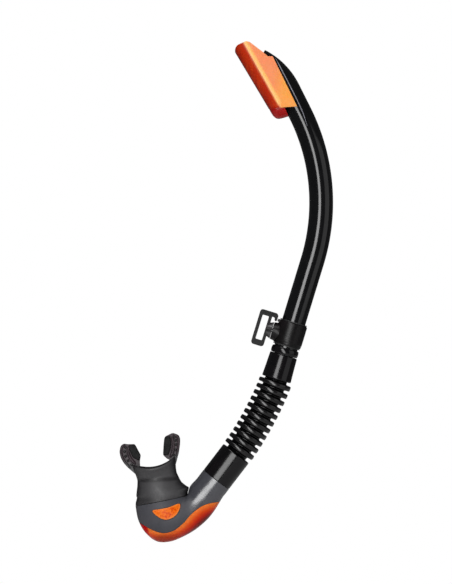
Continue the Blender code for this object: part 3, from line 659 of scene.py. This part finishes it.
def chin_form(name, inset):
    """The rounded lip below the guard's nose, back to the barrel."""
    back = 9.8
    bowl = [(guard_front(12) - 0.4, 12.0), (22.6, 5.0), (21.6, 0.6), (18.6, -2.6), (back, -4.4)]
    bowl = [tuple(p) for p in catmull(bowl, 4)]
    half_width, cheek = 11.0 - inset, guard_cheek(0)
    rings = []
    for i in range(-18, 19):
        across = math.sin(math.pi / 2 * i / 18)
        lift = 0.62 * (1 - math.sqrt(max(1 - across * across, 0)))
        nose = math.sqrt(1 - (across * half_width / GUARD_HALF_WIDTH) ** 2)
        ring = []
        for front, up in bowl:
            reach = cheek + (front - cheek) * (nose if front > cheek else 1)
            ring.append((reach, up + lift * (12 - up)))
        ring += [(back, 12.6 + inset), (ring[0][0] - 0.3, 12.6 + inset)]
        rings.append([Vector((inset - front, across * half_width, up + inset)) for front, up in ring])
    return raw(name, lofted(rings), GUARD)


def make_splash_guard():
    """A hollow hood with a rounded nose, flat cheeks and a chin, open towards the barrel."""
    guard = guard_form("splash_guard_shell", 0.0)
    boolean(guard, chin_form("chin", 0.0), "UNION")
    boolean(guard, guard_form("hollow", GUARD_WALL), "DIFFERENCE")
    boolean(guard, chin_form("chin_hollow", GUARD_WALL), "DIFFERENCE")
    clear_of = [path_ring(*station, 11.25) for station in barrel_path(2)[20:]]
    boolean(guard, raw("barrel_clearance", lofted(clear_of), WORLD), "DIFFERENCE")
    bevelled(guard, 0.4, 40, 3)
    to_guard = GUARD.inverted()

    def local(point):
        q = to_guard @ point
        return -q.x, q.y, q.z

    def cheek(point, normal):
        front, y, up = local(point)
        below_foot = (abs(y) < 12.6) * smoothstep(1.0, -0.5, up - 0.41 * front)
        return smoothstep(-2.6, -0.4, guard_cheek(up) - front) * (1 - below_foot)

    # Mask for the painted highlight along the line where the nose meets the flat cheek.
    def highlight_stripe(point, normal):
        front, y, up = local(point)
        off = front - guard_cheek(up) - 0.2
        return smoothstep(2.8, 0.8, abs(off)) * smoothstep(8, 11, up)

    # Mask for the nose's painted shade: 0 at its leading edge, 1 towards the cheeks.
    def nose(point, normal):
        front, y, up = local(point)
        return smoothstep(0.0, 1.0, abs(y) / GUARD_HALF_WIDTH)

    def low(point, normal):
        front, y, up = local(point)
        return smoothstep(44, 22, up + 1.3 * front)

    # Marks the chin, which the material paints dark red as shade.
    def chin(point, normal):
        front, y, up = local(point)
        return smoothstep(1.2, -0.6, up - 0.41 * front) * (abs(y) < 13.0)

    for key, value in (("cheek", cheek), ("highlight_stripe", highlight_stripe), ("nose", nose), ("low", low), ("chin", chin)):
        tinted(guard, key, value)
    placed(guard, orange, "tube", "guard_plastic", "splash_guard")


# ---------------------------------------------------------------- strap keeper


def make_collar():
    """A soft-shouldered ring with a lug towards the clip and a small tooth."""
    bore = 12.25
    outer = [(12.7, -9.2), (13.0, -8.6), (13.2, -6.6), (13.4, -4.4), (13.4, 10.2), (13.2, 11.3), (12.9, 11.9)]
    outer = [tuple(p) for p in catmull([*outer, (12.6, 12.1)], 5)]
    collar = raw("keeper_ring", turned([(bore, -9.3)] + outer + [(bore, 12.2)]), BARREL)
    lug = ((7.9, 12.6), (8.2, 14.2), (8.5, 16.0), (8.8, 17.6), (8.8, 20.0))
    boolean(collar, raw("lug", turned_solid(lug, 48), PIVOT), "UNION")
    tooth = prism(rounded([(-14.7, 9.4), (-11.6, 9.4), (-11.6, 12.1), (-14.4, 12.1)], 0.6), -5.0, 5.0)
    boolean(collar, raw("tooth", tooth, BARREL), "UNION")
    boolean(collar, raw("bore", turned_solid(((bore, -30), (bore, 30))), BARREL), "DIFFERENCE")
    hole = turned_solid(((PIN_HOLE, 5.0), (PIN_HOLE, 20.0)), 32)
    boolean(collar, raw("pin_hole", hole, PIVOT), "DIFFERENCE")
    placed(bevelled(collar, 0.3, 40, 2), satin, "keeper", "keeper_plastic", "keeper_collar")


def make_clip():
    """A slotted frame with bevelled bars, a pivot boss and a hook."""
    outline = rounded([(-3.1, -16.9), (8.9, -16.9), (8.9, 16.4), (-3.1, 16.4)], 3.0, 8)
    clip = raw("clip_frame", prism(outline, -5, 5), CLIP)
    hook = [(4.0, 16.4), (4.0, 12.0), (11.4, 12.0), (11.9, 9.6), (13.0, 8.9), (14.1, 9.6), (14.2, 14.6)]
    hook = rounded([*hook, (12.4, 16.4)], 0.9)
    boolean(clip, raw("hook", prism(hook, -4.0, 4.0), CLIP), "UNION")
    boolean(clip, raw("boss", turned_solid(((6.2, 7.0), (6.7, 9.6), (7.8, 12.2)), 48), PIVOT), "UNION")
    slot = rounded([(0, -11.5), (6.1, -11.5), (6.1, 11.5), (0, 11.5)], 0.9, 4)
    boolean(clip, raw("slot", prism(slot, -9, 9), CLIP), "DIFFERENCE")
    hole = turned_solid(((3.7, 5.0), (3.7, 7.8), (PIN_HOLE, 7.8), (PIN_HOLE, 20.0)), 32)
    boolean(clip, raw("clip_hole", hole, PIVOT), "DIFFERENCE")
    placed(bevelled(clip, 0.8, 45, 3), clip_gloss, "strap_clip", "keeper_plastic", "strap_clip")


# ---------------------------------------------------------------- hose and its couplings


HOSE_TOP = BARREL @ Vector((0, 0, UPPER_CUFF_BOTTOM))
HOSE_FOOT = SWIVEL @ Vector((0, 0, CUFF_LENGTH))


def hose_path(steps=200):
    """(x, z, tilt) down the hose, from the upper cuff to the lower one."""
    run = (HOSE_TOP - HOSE_FOOT).length
    down = BARREL.to_3x3() @ Vector((0, 0, -run)) * HOSE_STIFF_TOP
    on = SWIVEL.to_3x3() @ Vector((0, 0, -run))
    stations = []
    for i in range(steps + 1):
        t = i / steps
        point = HOSE_TOP * (2 * t**3 - 3 * t**2 + 1) + down * (t**3 - 2 * t**2 + t)
        point += HOSE_FOOT * (3 * t**2 - 2 * t**3) + on * (t**3 - t**2)
        heading = HOSE_TOP * (6 * t**2 - 6 * t) + down * (3 * t**2 - 4 * t + 1)
        heading += HOSE_FOOT * (6 * t - 6 * t**2) + on * (3 * t**2 - 2 * t)
        stations.append((point.x, point.z, math.degrees(math.atan2(-heading.x, -heading.z))))
    return stations


def make_hose():
    """Ribs with rounded corners and softly hollow grooves; the plain ends run up into the cuffs."""
    path = hose_path()
    marks = [0.0]
    for a, b in zip(path, path[1:]):
        marks.append(marks[-1] + math.dist(a[:2], b[:2]))
    length = marks[-1]

    def station(at):
        if at <= 0 or at >= length:
            x, z, tilt = path[0] if at <= 0 else path[-1]
            over = at if at <= 0 else at - length
            return x - over * math.sin(math.radians(tilt)), z - over * math.cos(math.radians(tilt)), tilt
        i = min(int(at / length * (len(path) - 1)), len(path) - 2)
        while marks[i + 1] < at:
            i += 1
        while marks[i] > at:
            i -= 1
        t = (at - marks[i]) / (marks[i + 1] - marks[i])
        return tuple(p + (q - p) * t for p, q in zip(path[i], path[i + 1]))

    shape = [(-3.0, 0.0), (-2.6, 0.2), (-2.35, 0.8), (-2.15, 2.4), (-2.08, 3.9)]
    shape += [(-1.95, 4.35), (-1.65, 4.68), (-1.1, 4.84), (0.0, 4.9)]
    shape += [(-at, rise) for at, rise in reversed(shape[:-1])]
    profile = [(-HOSE_END, HOSE_ROOT)]
    for i in range(RIB_COUNT):
        profile += [(FIRST_RIB + i * RIB_PITCH + at, HOSE_ROOT + rise) for at, rise in shape]
    profile.append((length + HOSE_END, HOSE_ROOT))
    inside = [(length + HOSE_END, HOSE_BORE)]
    inside += [(length * (1 - i / 24), HOSE_BORE) for i in range(25)]
    inside.append((-HOSE_END, HOSE_BORE))
    rings = [path_ring(*station(at), radius) for at, radius in profile + inside]
    made = raw("corrugated_hose", lofted(rings, loop=True), WORLD, 50)
    radii = [radius for _, radius in profile + inside for _ in range(ROUND)]
    # groove marks how deep a point lies in a groove, for the painted shade and the duller gloss there.
    attribute = made.data.attributes.new("groove", "FLOAT", "POINT")
    attribute.data.foreach_set("value", [smoothstep(13.4, 10.6, r) for r in radii])
    placed(made, hose, None, "hose_silicone", "flex_hose")
    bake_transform(made)


def make_cuffs():
    """The lock ring under the collar, and the two hard cuffs with softened rims."""
    ring = [(11.4, -18.1), (12.2, -18.0), (12.5, -17.4), (12.75, -16.2), (12.8, -15.0)]
    ring += [(12.7, -13.6), (12.4, -12.4), (12.0, -11.9), (11.4, -11.8)]
    ring = [tuple(p) for p in catmull(ring, 3)] + [(11.3, -15)]
    placed(raw("lock_ring", turned(ring), BARREL, 60), cuff_gloss, "tube", "cuff_plastic", "coupling_ring")
    upper = [(10.8, UPPER_CUFF_BOTTOM), (12.9, UPPER_CUFF_BOTTOM), (13.35, -41.55), (13.65, -41.15)]
    upper += [(13.72, -40.5), (13.2, -30.0), (12.85, -19.5), (12.78, -19.1), (12.5, -18.75)]
    upper += [(12.2, UPPER_CUFF_TOP), (9.2, UPPER_CUFF_TOP), (9.2, -20.5), (10.8, -22.0)]
    cuff = raw("upper_cuff", turned(upper), BARREL, 40)
    placed(cuff, cuff_gloss, "tube", "cuff_plastic", "upper_hose_cuff")
    lower = [(11.2, 0.3), (14.1, 0.3), (14.45, 0.42), (14.65, 0.8), (14.65, 29.2), (14.5, 29.75)]
    lower += [(14.2, 30.1), (13.8, CUFF_LENGTH), (10.8, CUFF_LENGTH), (10.8, 3.0), (11.2, 3.0)]
    cuff = raw("lower_cuff", turned(lower), SWIVEL, 40)
    placed(cuff, cuff_gloss, "lower_hose", "cuff_plastic", "lower_hose_cuff")


# ---------------------------------------------------------------- purge chamber


def chamber_stations():
    """(inner x, inner z, outer x, outer z, half depth) of the chamber's rings, fanning round the crotch."""
    lean = math.radians(SWIVEL_TILT)
    across = (TUBE_RADIUS * math.cos(lean), -TUBE_RADIUS * math.sin(lean))
    stations = []
    for down in (0.0, 5.0, 10.0):
        x, z = SWIVEL_X - down * math.sin(lean), SWIVEL_Z - down * math.cos(lean)
        stations.append((x - across[0], z - across[1], x + across[0], z + across[1], TUBE_RADIUS))
    stations += [
        (-62.9, -146.1, -41.2, -169.6, 15.0),
        (-64.4, -149.6, -48.4, -178.3, 15.6),
        (-64.9, -151.0, -58.8, -187.0, 16.4),
        (-65.2, -152.3, -70.4, -193.6, 17.4),
        (-65.4, -153.4, -82.4, -198.0, 18.2),
        (-65.4, -154.3, -94.4, -197.6, 18.5),
        (-65.4, -155.0, -104.8, -189.4, 18.4),
        (-65.5, -155.4, -111.2, -178.0, 17.8),
        (-65.8, -155.5, -113.7, -164.9, 16.6),
    ]
    return [tuple(s) for s in catmull(stations, 6)]


def station_ring(station, inset):
    inner, outer = Vector((station[0], 0, station[1])), Vector((station[2], 0, station[3]))
    centre, half = (inner + outer) / 2, (outer - inner) / 2
    half *= (half.length - inset) / half.length
    depth = station[4] - inset
    turns = [math.tau * i / ROUND for i in range(ROUND)]
    return [centre + half * math.cos(a) + Vector((0, depth * math.sin(a), 0)) for a in turns]


def port_ring(inset, z):
    """The oval port that the mouthpiece fits over."""
    wide, deep = PORT_HALF_WIDTH - inset, PORT_HALF_DEPTH - inset
    turns = [math.pi + math.tau * i / ROUND for i in range(ROUND)]
    return [PORT @ Vector((wide * math.cos(a), -deep * math.sin(a), z)) for a in turns]


def chamber_form(name, inset):
    """The chamber as one solid, or what lies an inset below its skin, run out past both ends."""
    rings = [station_ring(station, inset) for station in chamber_stations()]
    if inset > 0:
        rings.insert(0, [p + (a - b) * 4 for p, a, b in zip(rings[0], rings[0], rings[1])])
        rings.append(port_ring(inset, 6.0))
    return raw(name, lofted(rings), WORLD)


COVER_EDGE = [
    (-122.0, -176.0),
    (-110.0, -180.2),
    (-101.5, -184.6),
    (-93.6, -187.8),
    (-86.0, -188.8),
    (-77.8, -186.2),
    (-69.0, -179.2),
    (-63.1, -172.3),
    (-54.2, -165.2),
    (-45.5, -161.8),
    (-36.0, -160.8),
    (-20.0, -160.0),
]
INLAY = [(-98.0, -168.6), (-91.0, -166.8), (-82.0, -164.8), (-74.0, -162.0), (-72.0, -163.6)]
INLAY += [(-73.8, -169.4), (-78.4, -174.4), (-85.2, -176.8), (-92.4, -174.4)]


def cover_outline(shift):
    edge = [(p.x, p.y - shift) for p in catmull(COVER_EDGE, 6)]
    return edge + [(-20.0, -215.0), (-122.0, -215.0)]


def inlay_outline(inset):
    middle = Vector((-84.4, -169.6))
    found = []
    for corner in catmull(INLAY, 5, closed=True):
        away = corner - middle
        found.append(tuple(middle + away * (1 - inset / away.length)))
    return found


def make_chamber():
    """The hollow chamber, with recesses for its cover and inlays and a well for the purge valve."""
    stations = chamber_stations()
    outside = [station_ring(station, 0.0) for station in stations]
    neck = [port_ring(2.9, 0.0), port_ring(2.9, 8.0), port_ring(4.5, 8.0), port_ring(4.5, 0.0)]
    inside = [station_ring(station, 3.6) for station in reversed(stations[12:-6])]
    inside += [station_ring(station, 3.0) for station in reversed(stations[:12])]
    chamber = raw("chamber_shell", lofted(outside + neck + inside, loop=True), WORLD)
    for name, outline in (("cover_recess", cover_outline(0.0)), ("inlay_recess", inlay_outline(-0.25))):
        recess = raw(name, prism(outline, -25, 25), WORLD)
        boolean(recess, chamber_form(f"{name}_floor", 2.1), "DIFFERENCE")
        boolean(chamber, recess, "DIFFERENCE")
    well = turned_solid(((7.2, 18.8), (7.2, 24.8), (9.5, 24.8), (9.5, 45.0)), 48)
    boolean(chamber, raw("well", well, PURGE), "DIFFERENCE")
    chamber.data.shade_smooth()
    chamber.data.set_sharp_from_angle(angle=math.radians(38))

    # Mask for painted shade on the bulb where it turns away from the front.
    def away(point, normal):
        return smoothstep(0.62, 0.1, abs(normal.y)) * smoothstep(-70, -95, point.x)

    tinted(chamber, "away", away)
    tinted(chamber, "matt", lambda point, normal: smoothstep(-58, -68, point.x))
    placed(chamber, smoke, "chamber", "chamber_plastic", "chamber_body")


def skin_piece(name, outline, low, high):
    """A cover let into the chamber, its outside flush with the chamber's."""
    piece = chamber_form(name, 0.0)
    boolean(piece, raw(f"{name}_outline", prism(outline, low, high), WORLD), "INTERSECT")
    boolean(piece, chamber_form(f"{name}_back", 1.8), "DIFFERENCE")
    return piece


def nearest(point, outline):
    """How far an (x, z) point is from an outline's corners."""
    return min(math.dist((point.x, point.z), corner[:2]) for corner in outline)


def make_covers():
    """The purge cover with its vents, and the inlay on each side."""
    cover = skin_piece("purge_shell", cover_outline(0.3), -25, 25)
    for y in (-5.4, -1.9, 1.9, 5.4):
        slot = prism(rounded([(-11, 20), (11, 20), (11, 50), (-11, 50)], 1.0), y - 0.9, y + 0.9)
        boolean(cover, raw("vent", slot, PURGE), "DIFFERENCE")
    bevelled(cover, 0.3, 50, 2)
    edge = [tuple(p) for p in catmull(COVER_EDGE, 6)]

    # Masks for the cover's painted light: shade at the tip, a highlight along the upper edge that fades where
    # the cover turns away, and shade where it turns under.
    def tip(point, normal):
        return smoothstep(-101.0, -102.2, point.x + 0.95 * max(point.z + 185.2, 0))

    def painted_edge_light(point, normal):
        turned_away = 0.35 * abs(normal.x * 0.3 - normal.z) * 0.5
        return clamp(1 - smoothstep(0.0, 14.0, nearest(point, edge)) * 0.9 - turned_away)

    def under(point, normal):
        middle = smoothstep(-62, -84, point.x) * smoothstep(-102, -90, point.x)
        return middle * 0.8 * smoothstep(-188, -193, point.z)

    for key, value in (("tip", tip), ("edge", painted_edge_light), ("under", under)):
        tinted(cover, key, value)
    placed(cover, red, "chamber", "cover_plastic", "purge_cover")
    rim = inlay_outline(0.3)
    for name, low, high in (("front", -25, 0), ("back", 0, 25)):
        inlay = skin_piece(f"inlay_{name}", inlay_outline(0.3), low, high)
        bevelled(inlay, 0.35, 50, 2)
        tinted(inlay, "rim", lambda point, normal: 1 - smoothstep(0.5, 1.6, nearest(point, rim)))
        placed(inlay, bright, "chamber", "inlay_plastic", f"side_inlay_{name}")


# ---------------------------------------------------------------- mouthpiece


# Each bite tab in the port's frame, as (x, z): its two edges, its thicker lug, and the beads along its faces
RIGHT_OUTER = [(19.2, 30.0), (21.8, 35.4), (24.6, 41.8), (26.8, 48.0), (27.8, 53.0)]
RIGHT_OUTER += [(27.0, 56.2), (22.0, 59.2)]
RIGHT_INNER = [(19.2, 58.5), (14.5, 57.2), (13.3, 55.4), (11.5, 49.4), (9.7, 42.4)]
RIGHT_INNER += [(9.6, 40.6), (12.4, 36.8), (15.0, 35.0)]
RIGHT_LUG = [(19.0, 56.8), (14.6, 57.0), (13.5, 55.2), (11.7, 49.4), (9.9, 42.4)]
RIGHT_LUG += [(10.0, 41.0), (14.0, 40.6), (17.2, 45.6), (18.8, 51.0)]
LEFT_OUTER = [(-18.2, 27.6), (-20.8, 31.0), (-24.4, 35.6), (-27.4, 40.4), (-29.3, 46.0)]
LEFT_OUTER += [(-29.4, 51.6), (-27.2, 56.6)]
LEFT_INNER = [(-24.0, 58.2), (-21.4, 57.0), (-14.4, 55.7), (-13.6, 54.0), (-10.9, 45.0)]
LEFT_INNER += [(-11.0, 43.8), (-12.6, 39.6), (-13.4, 34.4)]
LEFT_LUG = [(-19.6, 55.6), (-14.6, 55.5), (-11.1, 45.0), (-11.2, 43.8), (-13.2, 40.6)]
LEFT_LUG += [(-18.2, 44.6), (-19.4, 50.0)]
RIGHT_OUTER_BEAD = [(21.4, 36.4), (23.6, 41.8), (25.5, 47.6), (26.4, 52.6), (25.4, 55.8)]
RIGHT_OUTER_BEAD += [(22.0, 57.8)]
RIGHT_INNER_BEAD = [(15.4, 37.6), (18.6, 42.0), (20.2, 47.4), (20.8, 52.2), (20.4, 56.4)]
LEFT_OUTER_BEAD = [(-22.2, 34.6), (-25.6, 40.0), (-27.7, 45.6), (-28.0, 51.4), (-26.2, 56.0)]
LEFT_OUTER_BEAD += [(-23.0, 56.6)]
LEFT_INNER_BEAD = [(-16.8, 37.6), (-19.2, 41.0), (-21.2, 46.0), (-21.4, 51.0), (-19.6, 55.2)]


def mouth_ring(half_width, half_depth, height, bow=0.0, shift=0.0):
    """An oval ring of the neck or the lip shield, bowed upwards at its sides."""
    turns = [math.pi + math.tau * i / ROUND for i in range(ROUND)]
    points = [(half_width * math.cos(a), half_depth * math.sin(a)) for a in turns]
    return [Vector((x + shift, y, height + bow * x * x)) for x, y in points]


def between(first, second, count):
    """Points midway between two beads, evenly spread, with the direction at each."""
    a, b = catmull(first, 8), catmull(second, 8)
    found = []
    for k in range(count):
        t = 0.12 + 0.74 * k / (count - 1)
        p, q = a[int(t * (len(a) - 1))], b[int(t * (len(b) - 1))]
        ahead = a[min(int(t * (len(a) - 1)) + 2, len(a) - 1)] - p
        found.append(((p + q) / 2, math.atan2(ahead.y, ahead.x)))
    return found


def within(q, outline):
    """1 where a point of the port's frame is within an outline of (x, z), 0 elsewhere."""
    found = False
    for (x0, z0), (x1, z1) in zip(outline, outline[1:] + outline[:1]):
        if (z0 > q.z) != (z1 > q.z) and q.x < x0 + (q.z - z0) * (x1 - x0) / (z1 - z0):
            found = not found
    return float(found)


def joined(name, meshes, place):
    """Several meshes' faces in one object, each mesh facing outwards by itself."""
    whole = bmesh.new()
    for bm in meshes:
        temporary = bpy.data.meshes.new("part")
        bmesh.ops.recalc_face_normals(bm, faces=bm.faces)
        bm.to_mesh(temporary)
        bm.free()
        whole.from_mesh(temporary)
        bpy.data.meshes.remove(temporary)
    bmesh.ops.transform(whole, matrix=Matrix.Scale(MM, 4) @ place, verts=whole.verts)
    mesh = bpy.data.meshes.new(name)
    whole.to_mesh(mesh)
    whole.free()
    made = bpy.data.objects.new(name, mesh)
    bpy.context.scene.collection.objects.link(made)
    return made


def make_mouthpiece():
    """Silicone in one moulding: a waisted neck, a lip shield, and two bite tabs with beads and nubs."""
    outer = [
        (24.4, 16.6, 0.3, 0.0, 0.0),
        (24.4, 16.3, 3.0, 0.0, 0.8),
        (24.4, 16.0, 5.2, 0.0, 1.9),
        (24.5, 15.8, 7.2, 0.0, 2.5),
        (23.6, 15.5, 8.8, 0.0, 1.6),
        (21.2, 14.8, 13.0, 0.0, 0.4),
        (19.9, 14.0, 16.6, 0.0, 0.3),
        (19.0, 12.9, 20.2, 0.0, 0.25),
        (18.5, 12.6, 22.4, 0.0, 0.2),
        (18.6, 13.4, 25.0, 0.0, 0.1),
        (19.0, 14.4, 27.4, 0.003, 0.0),
        (19.6, 15.4, 29.0, 0.010, 0.0),
        (20.0, 15.9, 29.8, 0.0165, 0.0),
        (19.6, 15.8, 30.9, 0.0165, 0.0),
        (18.4, 15.0, 31.6, 0.0165, 0.0),
    ]
    inner = [(13.0, 8.0, 30.6, 0.004), (12.6, 7.8, 24.0), (18.0, 11.2, 9.6), (21.8, 14.0, 8.4)]
    rings = [mouth_ring(*values) for values in [*catmull(outer, 3), *inner, (21.8, 14.0, 0.3)]]
    parts = [lofted(rings, loop=True)]
    nubs = []
    for outer_edge, inner_edge, lug, outer_bead, inner_bead in (
        (RIGHT_OUTER, RIGHT_INNER, RIGHT_LUG, RIGHT_OUTER_BEAD, RIGHT_INNER_BEAD),
        (LEFT_OUTER, LEFT_INNER, LEFT_LUG, LEFT_OUTER_BEAD, LEFT_INNER_BEAD),
    ):
        outline = rounded(outer_edge + inner_edge, 1.4, 4)
        parts.append(prism(outline, -2.2, 2.2))
        parts.append(prism(rounded(lug, 0.5, 2), -4.4, 4.4))
        for y in (-2.3, 2.3):
            for bead in (outer_bead, inner_bead):
                curve = [(p.x, y, p.y) for p in catmull(bead, 6)]
                ends = [min(1.0, (0.25 + min(i, len(curve) - 1 - i) / 4)) for i in range(len(curve))]
                parts.append(swept(curve, [1.05 * e for e in ends]))
            for point, turn in between(outer_bead, inner_bead, 5):
                nubs.append(point)
                cos, sin = math.cos(turn), math.sin(turn)
                corners = [(-NUB_HALF, -NUB_HALF), (NUB_HALF, -NUB_HALF)]
                corners += [(NUB_HALF, NUB_HALF), (-NUB_HALF, NUB_HALF)]
                square = [(point.x + c * cos - s * sin, point.y + c * sin + s * cos) for c, s in corners]
                parts.append(prism(square, min(y, y * 1.45), max(y, y * 1.45)))
    made = joined("mouthpiece_moulding", parts, PORT)
    remesh = made.modifiers.new("remesh", "REMESH")
    remesh.mode = "VOXEL"
    remesh.voxel_size = 0.36 * MM
    smooth = made.modifiers.new("smooth", "SMOOTH")
    smooth.factor = 0.5
    smooth.iterations = 3
    applied(made)
    made.data.shade_smooth()
    to_port = PORT.inverted()

    def tab(point, normal):
        q = to_port @ point
        return smoothstep(31, 36, q.z - 0.012 * q.x * q.x)

    # Marks the lugs' sides, which the material paints near black as shade.
    def lug(point, normal):
        q = to_port @ point
        return smoothstep(2.4, 3.2, abs(q.y)) * max(within(q, RIGHT_LUG), within(q, LEFT_LUG))

    def nub(point, normal):
        q = to_port @ point
        near = min(math.dist((q.x, q.z), tuple(middle)) for middle in nubs)
        return smoothstep(1.6, 0.9, near) * smoothstep(1.9, 2.3, abs(q.y))

    # Painted shade: strongest down the flanks where they turn away, then in the neck's fold, and less at its
    # foot.
    def painted_shade(point, normal):
        q = to_port @ point
        along = q.z + 0.145 * q.x
        fold = 0.75 * smoothstep(3.0, 0.6, abs(along - 20.2))
        foot = 0.5 * smoothstep(6.5, 1.0, along)
        flank = 0.95 * smoothstep(0.9, 0.35, abs(normal.y))
        return max(fold, foot, flank)

    for key, value in (("tab", tab), ("lug", lug), ("nub", nub), ("painted_shade", painted_shade)):
        tinted(made, key, value)
    placed(made, soft, "chamber", "mouthpiece_silicone", "mouthpiece")


# ---------------------------------------------------------------- CAD nodes that stay


def dress(node, finish):
    """Gives a CAD node its material and smooth shading."""
    node = frame["nodes"][node]
    node.data.materials.clear()
    node.data.materials.append(finish)
    node.data.shade_smooth()
    node.data.set_sharp_from_angle(angle=math.radians(40))


def make_all():
    make_barrel()
    make_rails()
    make_splash_guard()
    make_collar()
    make_clip()
    make_hose()
    make_cuffs()
    make_chamber()
    make_covers()
    make_mouthpiece()
    for node, finish in (
        ("splash_baffle", rubber),
        ("keeper_sleeve", rubber),
        ("keeper_pivot_pin", pin),
        ("hose_spigot", spigot),
        ("coupling_seal", seal),
        ("swivel_spigot", spigot),
        ("swivel_seal", seal),
        ("purge_seat", spigot),
        ("purge_valve", clear),
    ):
        dress(node, finish)


# ---------------------------------------------------------------- stage


def make_stage():
    """A pale floor below the snorkel, soft light, and a long lens along +Y."""
    bpy.ops.mesh.primitive_plane_add(size=1.7, location=(0, 0, FLOOR_Z))
    floor = bpy.context.object
    floor.name = "floor"
    n = Nodes("floor_pale")
    pale = n.ramp(n.noise(4, 2), ((0.3, (0.86, 0.86, 0.86)), (0.8, (0.9, 0.9, 0.9))))
    n.set(Base_Color=pale, Roughness=0.8)
    floor.data.materials.append(n.made)
    world = bpy.data.worlds.new("studio")
    bpy.context.scene.world = world
    world.use_nodes = True
    tree = world.node_tree
    background = tree.nodes["Background"]
    path = tree.nodes.new("ShaderNodeLightPath")
    mix = tree.nodes.new("ShaderNodeMix")
    mix.data_type = "RGBA"
    mix.inputs[6].default_value = (0.07, 0.07, 0.072, 1)
    mix.inputs[7].default_value = (1, 1, 1, 1)
    tree.links.new(path.outputs["Is Camera Ray"], mix.inputs[0])
    tree.links.new(mix.outputs[2], background.inputs["Color"])
    background.inputs["Strength"].default_value = 1.0

    def area(name, place, aim, width, height, power, lean=0, mirrored=True):
        light = bpy.data.lights.new(name, "AREA")
        light.shape = "RECTANGLE"
        light.size, light.size_y, light.energy = width, height, power
        made = bpy.data.objects.new(name, light)
        made.location = place
        turn = (Vector(aim) - Vector(place)).to_track_quat("-Z", "Y").to_matrix()
        made.rotation_euler = (turn @ Matrix.Rotation(math.radians(lean), 3, "Z")).to_euler()
        made.visible_camera = False
        made.visible_glossy = mirrored
        bpy.context.scene.collection.objects.link(made)

    area("key", (-0.35, -1.6, 0.12), (0, 0, 0.03), 0.55, 1.6, 21, 25)
    area("side", (2.6, -1.5, 0.1), (0, 0, 0), 2.4, 2.0, 10)
    area("top", (-0.3, -0.9, 1.9), (0, 0, 0), 1.0, 1.0, 14)
    area("back", (-0.7, 1.7, 0.5), (0, 0, 0), 1.2, 1.6, 14, mirrored=False)
    camera = bpy.data.objects.new("camera", bpy.data.cameras.new("camera"))
    camera.location = (-0.03045, -CAMERA_DISTANCE, 0.03169)
    camera.rotation_euler = (math.radians(90), 0, 0)
    camera.data.sensor_fit = "VERTICAL"
    camera.data.sensor_height = SENSOR
    camera.data.lens = SENSOR * CAMERA_DISTANCE / VIEW_HEIGHT
    camera.data.clip_end = 50
    bpy.context.scene.collection.objects.link(camera)
    bpy.context.scene.camera = camera
    bpy.context.scene.view_settings.view_transform = "Standard"


make_all()
make_stage()
